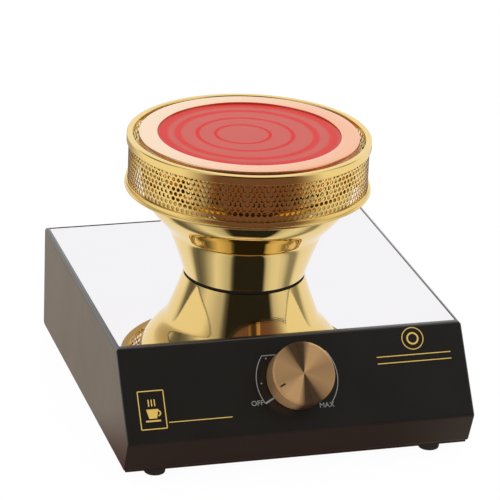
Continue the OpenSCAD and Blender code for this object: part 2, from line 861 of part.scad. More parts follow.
module control_shaft() {
  color([0.7, 0.7, 0.72])
    on_panel() shaft_shape(-sheet_t - pot_d + 3, shaft_top, shaft_r);
}

module control_body() {
  color([0.35, 0.38, 0.42])
    on_panel()
      difference() {
        union() {
          translate([0, 0, -sheet_t - pot_d]) cylinder(r = pot_r, h = pot_d);
          translate([0, 0, -sheet_t - e]) cylinder(r = bush_r, h = bush_top + sheet_t + e);
          for (i = [-1:1]) {
            translate([i * 5 - 1, -pot_r - tab_len, -sheet_t - pot_d + 2]) cube([2, tab_len + 2, 1]);
          }
        }
        translate([0, 0, -sheet_t - pot_d + 3 - turn_play])
          cylinder(r = shaft_r + turn_play, h = pot_d + bush_top + 2);
      }
}

module control_washer() {
  color([0.72, 0.72, 0.74])
    on_panel() tube(bush_r + 2.4, bush_r + screw_play, washer_t, 48);
}

module control_nut() {
  color([0.75, 0.72, 0.62])
    on_panel() translate([0, 0, washer_t]) nut(bush_r, bush_r + 2.4, control_nut_h);
}

// ---- circuit board ----
board_t = 1.6;
board_w = 58;
board_l = 48;
post_h = 6;
board_x = -side_x + flange_w + 1 + board_w / 2;
board_y = toe_y + flange_w + 14 + board_l / 2;
board_low = shell_low + post_h;
board_top = board_low + board_t;
post_inset = 4;
post_x = board_w / 2 - post_inset;
post_y = board_l / 2 - post_inset;
post_at = [for (x = [-post_x, post_x]) for (y = [-post_y, post_y]) [board_x + x, board_y + y]];

module on_board(x, y) {
  translate([board_x + x, board_y + y, board_top]) children();
}

module circuit_board() {
  color([0.1, 0.35, 0.18])
    difference() {
      block([board_x - board_w / 2, board_y - board_l / 2, board_low],
            [board_x + board_w / 2, board_y + board_l / 2, board_top]);
      for (p = post_at) {
        translate([p[0], p[1], board_low - 1]) cylinder(r = m3 + screw_play, h = board_t + 2, $fn = 24);
      }
    }
}

module board_posts() {
  color([0.75, 0.65, 0.4])
    for (p = post_at) {
      translate([p[0], p[1], shell_low]) difference() {
        cylinder(r = 3, h = post_h, $fn = 6);
        translate([0, 0, -1]) cylinder(r = m3 + screw_play / 2, h = post_h + 2, $fn = 24);
      }
    }
}

// Upper screws hold the board to its posts, lower ones hold the posts to the bottom plate
module board_screws() {
  color([0.7, 0.7, 0.72])
    for (p = post_at) {
      translate([p[0], p[1], board_top]) screw(m3, head3, 1.7, board_t + 2.6);
      translate([p[0], p[1], plate_low]) mirror([0, 0, 1]) screw(m3, head3, 1.7, base_t + 2.6);
    }
}

sink_y = -14;
term_n = 6;
term_pitch = 7;
term_w = term_n * term_pitch;
term_h = 12;
term_d = 10;
term_y = board_l / 2 - term_d - 0.5;

module heat_sink() {
  color([0.6, 0.62, 0.65])
    on_board(-6, sink_y)
      union() {
        translate([-14, 0, 0]) cube([28, 2.5, 22]);
        for (i = [0:5]) {
          translate([-14 + i * 5.3, -6, 0]) cube([1.5, 6 + e, 22]);
        }
      }
}

module power_switch_chip() {
  color([0.12, 0.12, 0.13])
    on_board(-6, sink_y + 2.5)
      union() {
        translate([-5, 0, 4]) cube([10, 4.4, 15]);
        for (i = [-1:1]) {
          translate([i * 2.54 - 0.4, 1.8, 0]) cube([0.8, 0.6, 4 + e]);
        }
      }
}

coil_r = 6.5;
wire_bundle_r = 3.5;

module choke_coil() {
  color([0.75, 0.45, 0.2])
    on_board(-15, term_y - coil_r - wire_bundle_r - 1)
      rotate_extrude($fn = 48) translate([coil_r, wire_bundle_r]) circle(r = wire_bundle_r, $fn = 32);
}

module film_capacitor() {
  color([0.75, 0.6, 0.15])
    on_board(14, -14) block([-4, -9, 0], [4, 9, 14]);
}

module terminal_block() {
  color([0.2, 0.45, 0.3])
    on_board(0, term_y)
      difference() {
        translate([-term_w / 2, 0, 0]) cube([term_w, term_d, term_h]);
        for (i = [0:term_n - 1]) {
          translate([-term_w / 2 + (i + 0.5) * term_pitch, 0, 0]) {
            translate([0, term_d / 2, term_h - 3]) cylinder(r = 2.2, h = 4, $fn = 24);
            translate([0, term_d - 5, term_h / 2 - 1]) rotate([-90, 0, 0])
              cylinder(r = 1.8, h = 6, $fn = 24);
          }
        }
      }
}

// Centre of terminal i at the block's wire face
function terminal(i) = [
  board_x - term_w / 2 + (i + 0.5) * term_pitch, board_y + board_l / 2 - 0.5, board_top + term_h / 2 - 1
];

// ---- power inlet ----
socket_w = 24;
socket_tall = 16.4;
socket_deep = 17;

module inlet_body() {
  color([0.08, 0.08, 0.08])
    at_inlet()
      difference() {
        union() {
          block([-inlet_flange_w / 2, 0, -inlet_flange_h / 2],
                [inlet_flange_w / 2, inlet_flange_t, inlet_flange_h / 2]);
          block([-inlet_w / 2, -inlet_d, -inlet_h / 2], [inlet_w / 2, e, inlet_h / 2]);
        }
        // plug cavity, with the two upper corners cut
        translate([0, inlet_flange_t + 1, 0]) rotate([90, 0, 0])
          linear_extrude(socket_deep + 1)
            polygon([
              [-socket_w / 2, -socket_tall / 2], [socket_w / 2, -socket_tall / 2],
              [socket_w / 2, socket_tall / 2 - 4], [socket_w / 2 - 4, socket_tall / 2],
              [-socket_w / 2 + 4, socket_tall / 2], [-socket_w / 2, socket_tall / 2 - 4]
            ]);
        for (side = [-1, 1]) {
          translate([side * inlet_screw_x, inlet_flange_t + 1, 0]) rotate([90, 0, 0])
            cylinder(r = m3 + screw_play, h = inlet_flange_t + 2, $fn = 24);
          translate([side * inlet_screw_x, inlet_flange_t + e, 0]) rotate([90, 0, 0])
            cylinder(r1 = head3 + screw_play, r2 = m3 + screw_play, h = 1.5, $fn = 24);
        }
        for (p = inlet_pin_at) {
          translate([p[0] - 1 - 0.05, -inlet_d - 1, p[1] - 2.05]) cube([2.1, inlet_d + 2, 4.1]);
        }
      }
}

// Flat pins: earth in the middle and higher, line pins below at each side
inlet_pin_at = [[-7, -2], [0, 2], [7, -2]];
pin_inside = 7;

module inlet_pins() {
  color([0.8, 0.78, 0.7])
    at_inlet()
      for (p = inlet_pin_at) {
        translate([p[0] - 1, -inlet_d - pin_inside, p[1] - 2]) cube([2, inlet_d + pin_inside - 1, 4]);
      }
}

module inlet_screws() {
  color([0.7, 0.7, 0.72])
    at_inlet()
      for (side = [-1, 1]) {
        translate([side * inlet_screw_x, 0, 0]) rotate([90, 0, 0])
          difference() {
            union() {
              translate([0, 0, -inlet_flange_t]) cylinder(r1 = head3, r2 = m3, h = 1.3, $fn = 24);
              translate([0, 0, -inlet_flange_t + 1])
                cylinder(r = m3, h = inlet_flange_t - 1 + sheet_t + 3.4, $fn = 24);
            }
            for (turn = [0, 90]) {
              rotate([0, 0, turn]) translate([-1.6, -0.35, -inlet_flange_t - 1]) cube([3.2, 0.7, 1.7]);
            }
          }
      }
}

module inlet_nuts() {
  color([0.7, 0.68, 0.6])
    at_inlet()
      for (side = [-1, 1]) {
        translate([side * inlet_screw_x, -sheet_t, 0]) rotate([90, 0, 0]) nut(m3, nut3, 2.4);
      }
}

// ---- fan ----
fan_bore = fan_w / 2 - 1.5;
hub_r = fan_w / 5;
axle_r = 1.5;
fan_low = shell_low;
spider_t = 2.5;
motor_h = 2;

module fan_frame() {
  color([0.1, 0.1, 0.11])
    translate([0, lamp_y, fan_low])
      difference() {
        union() {
          difference() {
            translate([-fan_w / 2, -fan_w / 2, 0]) cube([fan_w, fan_w, fan_d]);
            translate([0, 0, -1]) cylinder(r = fan_bore, h = fan_d + 2, $fn = 96);
          }
          // spider that carries the motor plate
          intersection() {
            cylinder(r = fan_bore + 1, h = spider_t);
            union() {
              for (turn = [45:90:315]) {
                rotate([0, 0, turn]) translate([0, -1.5, 0]) cube([fan_w, 3, spider_t]);
              }
            }
          }
          cylinder(r = hub_r, h = spider_t + motor_h);
        }
        translate([0, 0, spider_t]) cylinder(r = axle_r + turn_play, h = motor_h + 1, $fn = 32);
        for (x = [-fan_hole, fan_hole]) {
          for (y = [-fan_hole, fan_hole]) {
            translate([x, y, -1]) cylinder(r = m3 + screw_play, h = fan_d + 2, $fn = 24);
          }
        }
      }
}

rotor_low = spider_t + motor_h + run_gap;

module fan_rotor() {
  color([0.13, 0.13, 0.14])
    translate([0, lamp_y, fan_low])
      union() {
        translate([0, 0, rotor_low]) cylinder(r = hub_r, h = fan_d - rotor_low - 0.8);
        translate([0, 0, spider_t + 0.3]) cylinder(r = axle_r, h = rotor_low - spider_t, $fn = 32);
        intersection() {
          translate([0, 0, rotor_low]) tube(fan_bore - run_gap, hub_r - 1, fan_d - rotor_low - 0.8);
          union() {
            for (i = [0:blade_n - 1]) {
              rotate([0, 0, i * 360 / blade_n]) translate([hub_r - 2, 0, (rotor_low + fan_d - 0.8) / 2])
                rotate([38, 0, 0]) translate([0, -7.5, -0.6]) cube([fan_w / 2, 15, 1.2]);
            }
          }
        }
      }
}

module fan_screws() {
  color([0.7, 0.7, 0.72])
    for (p = fan_at) {
      translate([p[0], p[1], plate_low]) mirror([0, 0, 1]) screw(m3, head3, 1.7, base_t + fan_d - 1);
    }
}

// ---- wiring ----
// One smooth lead: rings of lead_sides points along a curve through the route's points
lead_sides = 8;
lead_steps = 4;

function bend_point(a, b, c, d, t) =
  0.5 * ((2 * b) + (c - a) * t + (2 * a - 5 * b + 4 * c - d) * t * t + (3 * b - a - 3 * c + d) * t * t * t);

function smooth(route) = concat(
  [
    for (i = [0:len(route) - 2])
      let (before = route[max(i - 1, 0)], after = route[min(i + 2, len(route) - 1)])
        for (s = [0:lead_steps - 1])
          bend_point(before, route[i], route[i + 1], after, s / lead_steps)
  ],
  [route[len(route) - 1]]
);

function heading(path, i) = unit(path[min(i + 1, len(path) - 1)] - path[max(i - 1, 0)]);

function square_to(v, t) = unit(v - (v * t) * t);

// Sideways direction of each ring, carried along the path without twist
function sideways(path) = [
  for (i = 0, v = square_to([0.31, 0.87, 0.4], heading(path, 0)); i < len(path);
       i = i + 1, v = square_to(v, heading(path, min(i, len(path) - 1)))) v
];

module lead(route, r) {
  path = smooth(route);
  side = sideways(path);
  rings = [
    for (i = [0:len(path) - 1])
      let (u = side[i], w = cross(heading(path, i), u))
        for (k = [0:lead_sides - 1])
          path[i] + r * (cos(k * 360 / lead_sides) * u + sin(k * 360 / lead_sides) * w)
  ];
  last = len(path) - 1;
  walls = [
    for (i = [0:last - 1]) for (k = [0:lead_sides - 1])
      let (n = (k + 1) % lead_sides, a = i * lead_sides)
        each [[a + k, a + lead_sides + k, a + n], [a + n, a + lead_sides + k, a + lead_sides + n]]
  ];
  ends = [
    [for (k = [0:lead_sides - 1]) k],
    [for (k = [lead_sides - 1:-1:0]) last * lead_sides + k]
  ];
  polyhedron(rings, concat(walls, ends), convexity = 6);
}

lead_r = 1.1;
thin_r = 0.7;
end_gap = 0.4;
earth_at = [-inlet_x - 15, back_y - 43];

// Anchors of the routes: each point below is given from the piece that it passes
at_board = [board_x, board_y, 0];
at_lamp = [0, lamp_y, 0];
pin_end = [-inlet_x, back_y - inlet_d - pin_inside - end_gap, inlet_z];

// A point given in the control's own frame
function panel_point(x, y, z) = [
  x, knob_y + y * sin(lean) - z * cos(lean), knob_z + y * cos(lean) + z * sin(lean)
];

// Inside end of the lead in terminal i, and the straight run that leaves it
function clamped(i) = [terminal(i) + [0, -3, 0], terminal(i) + [0, 8, 0]];

live_route = concat(clamped(0), [
  at_board + [-15, 41, 16], at_board + [-17, 59, 12], at_board + [-17, 87, 14], at_board + [-13, 109, 24],
  pin_end + [-7, -6, -2], pin_end + [-7, 0, -2]
]);
neutral_route = concat(clamped(1), [
  at_board + [-5, 41, 18], at_board + [-7, 59, 14], at_board + [-3, 81, 16], at_board + [7, 103, 26],
  pin_end + [7, -6, -2], pin_end + [7, 0, -2]
]);
earth_route = [
  pin_end + [0, 0, 2], pin_end + [0, -6, 2], pin_end + [-3, -15, -15], pin_end + [-9, -17, -27],
  [earth_at[0] + 4, earth_at[1] - 2, shell_low + 1.3]
];
lamp_route_a = concat(clamped(4), [
  at_board + [21, 39, 30], at_lamp + [-20, -17, 44], at_lamp + [-10, -7, 60], at_lamp + [-5, -2, 76],
  at_lamp + [-pin_x, 0, socket_low - 6], at_lamp + [-pin_x, 0, socket_low - end_gap]
]);
lamp_route_b = concat(clamped(5), [
  at_board + [29, 39, 28], at_lamp + [-12, -19, 42], at_lamp + [-2, -9, 60], at_lamp + [3, -3, 76],
  at_lamp + [pin_x, 0, socket_low - 6], at_lamp + [pin_x, 0, socket_low - end_gap]
]);
fan_route = concat(clamped(3), [
  at_board + [13, 41, 12], at_board + [19, 51, 10], at_lamp + [-fan_w / 2 - end_gap, -12, 12]
]);
tab_z = -sheet_t - pot_d + 2.5;
control_route = concat(clamped(2), [
  at_board + [21, 29, 26], at_board + [33, 7, 30], panel_point(-8, -pot_r - 12, tab_z - 16),
  panel_point(0, -pot_r - 9, tab_z - 2), panel_point(0, -pot_r - tab_len - end_gap, tab_z)
]);

module live_lead() {
  color([0.45, 0.25, 0.12]) lead(live_route, lead_r);
}

module neutral_lead() {
  color([0.15, 0.3, 0.6]) lead(neutral_route, lead_r);
}

module earth_lead() {
  color([0.35, 0.6, 0.15]) lead(earth_route, lead_r);
}

module earth_screw() {
  color([0.75, 0.72, 0.62])
    translate([earth_at[0], earth_at[1], plate_low]) mirror([0, 0, 1]) screw(m3, head3, 1.7, base_t + 6);
}

module lamp_lead_a() {
  color([0.9, 0.88, 0.82]) lead(lamp_route_a, lead_r);
}

module lamp_lead_b() {
  color([0.9, 0.88, 0.82]) lead(lamp_route_b, lead_r);
}

module fan_lead() {
  color([0.6, 0.1, 0.1]) lead(fan_route, thin_r);
}

module control_lead() {
  color([0.5, 0.5, 0.52]) lead(control_route, thin_r);
}

base_shell();
bottom_plate();
bottom_screws();
rubber_feet();
foot_screws();
mirror_plate();
plate_nuts();
bell();
neck_gasket();
neck_clamp();
neck_screws();
neck_nuts();
reflector();
lamp_bracket();
lamp_socket();
socket_screws();
socket_nuts();
lamp_capsule();
lamp_filament();
thermal_cutout();
glass_seal();
glass_window();
glass_ring();
ring_screws();
collar_sleeve();
collar_top_rim();
collar_low_rim();
collar_brackets();
bracket_rivets();
knob();
knob_screw();
control_shaft();
control_body();
control_washer();
control_nut();
circuit_board();
board_posts();
board_screws();
power_switch_chip();
heat_sink();
choke_coil();
film_capacitor();
terminal_block();
inlet_body();
inlet_pins();
inlet_screws();
inlet_nuts();
fan_frame();
fan_rotor();
fan_screws();
live_lead();
neutral_lead();
earth_lead();
earth_screw();
lamp_lead_a();
lamp_lead_b();
fan_lead();
control_lead();
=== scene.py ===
import json
import math

import bmesh
import bpy
from mathutils import Matrix, Vector


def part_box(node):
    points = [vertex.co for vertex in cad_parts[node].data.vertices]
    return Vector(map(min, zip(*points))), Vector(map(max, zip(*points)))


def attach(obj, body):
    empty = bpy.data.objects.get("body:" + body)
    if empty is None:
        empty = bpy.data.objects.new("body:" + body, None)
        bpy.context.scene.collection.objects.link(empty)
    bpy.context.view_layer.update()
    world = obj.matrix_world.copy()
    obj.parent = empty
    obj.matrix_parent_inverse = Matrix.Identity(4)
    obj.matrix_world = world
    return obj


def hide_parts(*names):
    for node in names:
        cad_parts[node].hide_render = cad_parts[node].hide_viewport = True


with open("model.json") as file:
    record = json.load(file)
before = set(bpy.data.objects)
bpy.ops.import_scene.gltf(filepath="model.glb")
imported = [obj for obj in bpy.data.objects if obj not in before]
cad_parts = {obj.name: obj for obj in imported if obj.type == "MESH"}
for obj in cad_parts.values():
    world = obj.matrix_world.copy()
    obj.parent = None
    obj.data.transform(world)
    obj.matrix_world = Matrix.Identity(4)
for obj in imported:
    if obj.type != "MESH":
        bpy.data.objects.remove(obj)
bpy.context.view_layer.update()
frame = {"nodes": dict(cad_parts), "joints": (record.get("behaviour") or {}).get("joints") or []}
nodes = frame["nodes"]
scene = bpy.context.scene
mm = 0.001
print("frame loaded:", len(nodes), "nodes")

# Camera: place and clip in metres, turns in degrees, lens and sensor in millimetres
cameraSetup = {
    "place": (-0.4659, -1.5320, 0.7408),
    "yaw": -16.789,
    "pitch": -22.099,
    "roll": -2.368,
    "lens": 216.75,
    "sensor": 36.0,
    "clip": (0.05, 50.0),
}


def makeCamera(setup):
    data = bpy.data.cameras.new("studioCamera")
    data.lens = setup["lens"]
    data.sensor_width = setup["sensor"]
    data.clip_start, data.clip_end = setup["clip"]
    camera = bpy.data.objects.new("studioCamera", data)
    scene.collection.objects.link(camera)
    turn = Matrix.Rotation(math.radians(setup["yaw"]), 3, "Z")
    turn = turn @ Matrix.Rotation(math.radians(setup["pitch"]), 3, "X")
    turn = turn @ Matrix.Rotation(math.radians(setup["roll"]), 3, "Y")
    right, ahead, up = turn.col
    aim = Matrix((right, up, -ahead)).transposed().to_4x4()
    camera.matrix_world = Matrix.Translation(setup["place"]) @ aim
    scene.camera = camera


makeCamera(cameraSetup)

# Places that everything else is measured from, all read off the frame
shellLow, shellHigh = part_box("base_shell")
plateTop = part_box("mirror_plate")[1].z
bellLow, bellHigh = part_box("bell")
lampX = (bellLow.x + bellHigh.x) / 2
lampY = (bellLow.y + bellHigh.y) / 2
headPlace = Matrix.Translation((lampX, lampY, plateTop))
knobJoint = next(joint for joint in frame["joints"] if joint["child"] == "knob")
panelOut = -Vector(knobJoint["axis"]).normalized()
panelRight = Vector((1, 0, 0))
panelUp = panelOut.cross(panelRight)
panelTurn = Matrix((panelRight, panelUp, panelOut)).transposed().to_4x4()
panelPlace = Matrix.Translation(knobJoint["pos_m"]) @ panelTurn


# Node helpers
def feed(tree, socket, source):
    # an input takes a link from a socket, or a plain value
    if isinstance(source, bpy.types.NodeSocket):
        tree.links.new(source, socket)
    else:
        socket.default_value = source


def addNode(tree, kind, inputs=None, **settings):
    # inputs: {input name or number: output socket or plain value}; settings: the node's own properties
    node = tree.nodes.new(kind)
    for key, value in settings.items():
        setattr(node, key, value)
    for key, source in (inputs or {}).items():
        feed(tree, node.inputs[key], source)
    return node


def mathNode(tree, operation, first, second=None, third=None):
    links = {0: first}
    if second is not None:
        links[1] = second
    if third is not None:
        links[2] = third
    return addNode(tree, "ShaderNodeMath", links, operation=operation).outputs[0]


def newGroup(name, inputs, outputs):
    group = bpy.data.node_groups.new(name, "ShaderNodeTree")
    for label, kind, value in inputs:
        socket = group.interface.new_socket(label, in_out="INPUT", socket_type="NodeSocket" + kind)
        if value is not None:
            socket.default_value = value
    for label, kind in outputs:
        group.interface.new_socket(label, in_out="OUTPUT", socket_type="NodeSocket" + kind)
    return group, group.nodes.new("NodeGroupInput").outputs, group.nodes.new("NodeGroupOutput").inputs


def smoothBand(tree, value, low, high):
    # 0 below low, 1 above high
    inputs = {"Value": value, "From Min": low, "From Max": high}
    return addNode(tree, "ShaderNodeMapRange", inputs, interpolation_type="SMOOTHSTEP").outputs["Result"]


def noiseValue(tree, vector, scale, detail, **more):
    inputs = {"Vector": vector, "Scale": scale, "Detail": detail, **more}
    return addNode(tree, "ShaderNodeTexNoise", inputs).outputs["Fac"]


def axisDistance(tree, vector):
    # how far the vector lies from its own Z axis
    flat = addNode(tree, "ShaderNodeVectorMath", {0: vector, 1: (1.0, 1.0, 0.0)}, operation="MULTIPLY")
    return addNode(tree, "ShaderNodeVectorMath", {0: flat.outputs[0]}, operation="LENGTH").outputs["Value"]


def fillRamp(ramp, stops):
    # stops: (position, level); a new ramp already has two
    elements = ramp.color_ramp.elements
    for number, (position, level) in enumerate(stops):
        stop = elements[number] if number < 2 else elements.new(position)
        stop.position = position
        stop.color = (level, level, level, 1.0)


# Shared surface effects
def makeSurfaceGrain():
    # fine even grain: powder coat, moulded plastic, rubber
    group, source, target = newGroup(
        "surfaceGrain",
        [
            ("Vector", "Vector", None), ("Scale", "Float", 900.0),
            ("Low", "Float", 0.3), ("High", "Float", 0.45),
        ],
        [("Height", "Float"), ("Roughness", "Float")],
    )
    fine = noiseValue(group, source["Vector"], source["Scale"], 3.0)
    broad = noiseValue(group, source["Vector"], mathNode(group, "MULTIPLY", source["Scale"], 0.02), 4.0)
    mixed = mathNode(group, "MULTIPLY_ADD", broad, 0.6, mathNode(group, "MULTIPLY", fine, 0.4))
    spread = addNode(group, "ShaderNodeMapRange", {
        "Value": mixed, "From Min": 0.35, "From Max": 0.65, "To Min": source["Low"], "To Max": source["High"],
    })
    group.links.new(fine, target["Height"])
    group.links.new(spread.outputs["Result"], target["Roughness"])
    return group


def makePolishHaze():
    # polished metal and glass: soft wipe marks and a few hairlines in the roughness
    group, source, target = newGroup(
        "polishHaze",
        [
            ("Vector", "Vector", None), ("Scale", "Float", 30.0),
            ("Low", "Float", 0.03), ("High", "Float", 0.1), ("Hairlines", "Float", 0.25),
        ],
        [("Roughness", "Float")],
    )
    wipes = noiseValue(group, source["Vector"], source["Scale"], 5.0, Roughness=0.6, Distortion=1.2)
    haze = smoothBand(group, wipes, 0.45, 0.75)
    stretched = addNode(group, "ShaderNodeMapping", {
        "Vector": source["Vector"], "Rotation": (0.0, 0.0, 0.6), "Scale": (40.0, 2.0, 40.0),
    })
    hairs = smoothBand(group, noiseValue(group, stretched.outputs["Vector"], 25.0, 2.0), 0.66, 0.78)
    both = mathNode(group, "MAXIMUM", haze, mathNode(group, "MULTIPLY", hairs, source["Hairlines"]))
    spread = addNode(
        group, "ShaderNodeMapRange", {"Value": both, "To Min": source["Low"], "To Max": source["High"]}
    )
    group.links.new(spread.outputs["Result"], target["Roughness"])
    return group


def makeLatheLines():
    # fine rings about the Z axis of the vector it is given
    group, source, target = newGroup(
        "latheLines",
        [("Vector", "Vector", None), ("Pitch", "Float", 0.0006), ("Unevenness", "Float", 0.5)],
        [("Height", "Float")],
    )
    radius = axisDistance(group, source["Vector"])
    rise = addNode(group, "ShaderNodeSeparateXYZ", {0: source["Vector"]}).outputs["Z"]
    along = mathNode(group, "DIVIDE", mathNode(group, "ADD", radius, rise), source["Pitch"])
    wobble = addNode(
        group, "ShaderNodeTexNoise", {"W": along, "Scale": 1.0, "Detail": 3.0}, noise_dimensions="1D"
    )
    turns = mathNode(group, "MULTIPLY", along, 6.283)
    wave = mathNode(group, "MULTIPLY_ADD", mathNode(group, "SINE", turns), 0.5, 0.5)
    blend = addNode(
        group, "ShaderNodeMix", {"Factor": source["Unevenness"], "A": wave, "B": wobble.outputs["Fac"]}
    )
    group.links.new(blend.outputs["Result"], target["Height"])
    return group


def makeRingMask():
    # one soft ring of given radius and width about the vector's Z axis
    group, source, target = newGroup(
        "ringMask",
        [
            ("Vector", "Vector", None), ("Radius", "Float", 0.02), ("Width", "Float", 0.001),
            ("Softness", "Float", 0.0005),
        ],
        [("Mask", "Float")],
    )
    radius = axisDistance(group, source["Vector"])
    away = mathNode(group, "ABSOLUTE", mathNode(group, "SUBTRACT", radius, source["Radius"]))
    inner = mathNode(group, "MULTIPLY", source["Width"], 0.5)
    outer = mathNode(group, "ADD", inner, source["Softness"])
    mask = mathNode(group, "SUBTRACT", 1.0, smoothBand(group, away, inner, outer))
    group.links.new(mask, target["Mask"])
    return group


def makeDustVeil():
    # a little dust on what faces up
    group, source, target = newGroup(
        "dustVeil",
        [("Vector", "Vector", None), ("Amount", "Float", 0.1)],
        [("Mask", "Float")],
    )
    normal = addNode(group, "ShaderNodeNewGeometry").outputs["Normal"]
    facing = addNode(group, "ShaderNodeSeparateXYZ", {0: normal})
    up = smoothBand(group, facing.outputs["Z"], 0.3, 0.95)
    specks = smoothBand(group, noiseValue(group, source["Vector"], 700.0, 4.0), 0.5, 0.75)
    patches = noiseValue(group, source["Vector"], 22.0, 3.0)
    spotted = mathNode(group, "MULTIPLY", specks, patches)
    mask = mathNode(group, "MULTIPLY", mathNode(group, "MULTIPLY", spotted, up), source["Amount"])
    group.links.new(mask, target["Mask"])
    return group


surfaceGrain = makeSurfaceGrain()
polishHaze = makePolishHaze()
latheLines = makeLatheLines()
ringMask = makeRingMask()
dustVeil = makeDustVeil()
print("surface effects built")


# Finishes
def newFinish(name, shaderValues):
    material = bpy.data.materials.new(name)
    material.use_nodes = True
    tree = material.node_tree
    tree.nodes.clear()
    shader = addNode(tree, "ShaderNodeBsdfPrincipled", shaderValues)
    addNode(tree, "ShaderNodeOutputMaterial", {"Surface": shader.outputs["BSDF"]})
    objectCoords = addNode(tree, "ShaderNodeTexCoord").outputs["Object"]
    return material, tree, shader, objectCoords


def useGroup(tree, group, inputs):
    node = tree.nodes.new("ShaderNodeGroup")
    node.node_tree = group
    for key, source in inputs.items():
        feed(tree, node.inputs[key], source)
    return node.outputs


def mixColours(tree, factor, first, second):
    mix = tree.nodes.new("ShaderNodeMix")
    mix.data_type = "RGBA"
    feed(tree, mix.inputs[0], factor)
    for number, colour in ((6, first), (7, second)):
        linked = isinstance(colour, bpy.types.NodeSocket)
        feed(tree, mix.inputs[number], colour if linked else (*colour, 1.0))
    return mix.outputs[2]


def bumpNormal(tree, shader, height, strength, distance):
    bump = addNode(tree, "ShaderNodeBump", {"Height": height, "Strength": strength, "Distance": distance})
    tree.links.new(bump.outputs["Normal"], shader.inputs["Normal"])


def aboutAxis(tree, coords, x, y):
    return addNode(tree, "ShaderNodeMapping", {"Vector": coords, "Location": (-x, -y, 0.0)}).outputs["Vector"]


def metalFinish(name, light, dark, low, high, pitch=0.0, lines=0.0, grain=0.0, hazeScale=30.0):
    # plated or polished metal, with rings about the lamp head's axis when it has a pitch
    material, tree, shader, coords = newFinish(name, {"Metallic": 1.0})
    haze = useGroup(tree, polishHaze, {"Vector": coords, "Scale": hazeScale, "Low": low, "High": high})
    tone = noiseValue(tree, coords, 18.0, 2.0)
    tree.links.new(mixColours(tree, tone, light, dark), shader.inputs["Base Color"])
    tree.links.new(haze["Roughness"], shader.inputs["Roughness"])
    if pitch:
        centred = aboutAxis(tree, coords, lampX, lampY)
        rings = useGroup(tree, latheLines, {"Vector": centred, "Pitch": pitch})
        bumpNormal(tree, shader, rings["Height"], lines, 0.0001)
    elif grain:
        fine = useGroup(tree, surfaceGrain, {"Vector": coords, "Scale": 1500.0})
        bumpNormal(tree, shader, fine["Height"], grain, 0.0001)
    return material


def mouldedFinish(name, light, dark, low, high, scale=900.0, depth=0.12, dust=0.05, values=None):
    # paint, plastic, rubber, ceramic: two close tones, grain in height and roughness, a little dust on top
    material, tree, shader, coords = newFinish(name, values or {})
    grain = useGroup(tree, surfaceGrain, {"Vector": coords, "Scale": scale, "Low": low, "High": high})
    colour = mixColours(tree, noiseValue(tree, coords, 40.0, 3.0), light, dark)
    veil = useGroup(tree, dustVeil, {"Vector": coords, "Amount": dust})
    tree.links.new(mixColours(tree, veil["Mask"], colour, (0.5, 0.48, 0.45)), shader.inputs["Base Color"])
    tree.links.new(grain["Roughness"], shader.inputs["Roughness"])
    bumpNormal(tree, shader, grain["Height"], depth, 0.0002)
    return material


# Rings drawn in the window's finish: radius, width and soft edge in millimetres, strength, and how far
# each is set aside from the axis; the moulded ribs use the same radii but stay on the axis
windowRings = {
    "radii": (15.7, 27.5, 39.8, 49.0),
    "width": (1.3, 1.4, 1.8, 2.2),
    "softness": (0.6, 1.0, 2.2, 3.2),
    "strength": (1.0, 0.9, 0.75, 0.7),
    "shift": ((-3.6, 1.1), (-2.3, 0.7), (-1.3, 0.4), (-0.4, 0.1)),
}


def windowFinish():
    # red glass, polished on top, with the moulded rings of its underside showing through
    values = {"Transmission Weight": 0.03, "IOR": 1.2, "Coat Roughness": 0.03, "Coat IOR": 1.26}
    material, tree, shader, coords = newFinish("redGlass", values)
    total = None
    for radius, width, softness, strength, shift in zip(*windowRings.values()):
        centred = aboutAxis(tree, coords, lampX + shift[0] * mm, lampY + shift[1] * mm)
        ring = useGroup(
            tree, ringMask,
            {"Vector": centred, "Radius": radius * mm, "Width": width * mm, "Softness": softness * mm},
        )
        part = mathNode(tree, "MULTIPLY", ring["Mask"], strength)
        total = part if total is None else mathNode(tree, "MAXIMUM", total, part)
    body = mixColours(tree, noiseValue(tree, coords, 25.0, 2.0), (0.63, 0.040, 0.018), (0.59, 0.030, 0.012))
    tree.links.new(mixColours(tree, total, body, (0.76, 0.004, 0.002)), shader.inputs["Base Color"])
    haze = useGroup(
        tree, polishHaze, {"Vector": coords, "Scale": 12.0, "Low": 0.42, "High": 0.48, "Hairlines": 0.0}
    )
    tree.links.new(haze["Roughness"], shader.inputs["Roughness"])
    tree.links.new(mathNode(tree, "MULTIPLY_ADD", total, -0.7, 0.75), shader.inputs["Coat Weight"])
    return material


def ringFinish():
    # satin rose gold whose colour goes from cream to pink across the ring, a painted reflection
    material, tree, shader, coords = newFinish("roseGold", {"Metallic": 1.0})
    centred = aboutAxis(tree, coords, lampX, lampY)
    # painted reflection: a cream to pink drift across the ring in the base colour
    across = addNode(tree, "ShaderNodeVectorMath", {0: centred, 1: (9.0, -5.0, 0.0)}, operation="DOT_PRODUCT")
    paintedReflectionShare = smoothBand(tree, across.outputs["Value"], -0.6, 0.55)
    paintedReflectionTint = mixColours(tree, paintedReflectionShare, (0.99, 0.75, 0.54), (0.97, 0.52, 0.33))
    tree.links.new(paintedReflectionTint, shader.inputs["Base Color"])
    haze = useGroup(tree, polishHaze, {"Vector": coords, "Scale": 6.0, "Low": 0.20, "High": 0.26})
    tree.links.new(haze["Roughness"], shader.inputs["Roughness"])
    lines = useGroup(tree, latheLines, {"Vector": centred, "Pitch": 0.0007})
    bumpNormal(tree, shader, lines["Height"], 0.02, 0.0001)
    return material


# Painted sheen of the turned face, painted highlight and painted shade in its colour round half a turn:
# (share of the half turn, level)
knobPaintedSheen = (
    (0.0, 0.0), (0.09, 0.03), (0.17, 0.95), (0.30, 1.0),
    (0.48, 0.62), (0.72, 0.70), (0.86, 0.45), (0.93, 0.03),
)
knobPaintedSheenStart = 0.56  # share of the half turn by which the wedges are turned


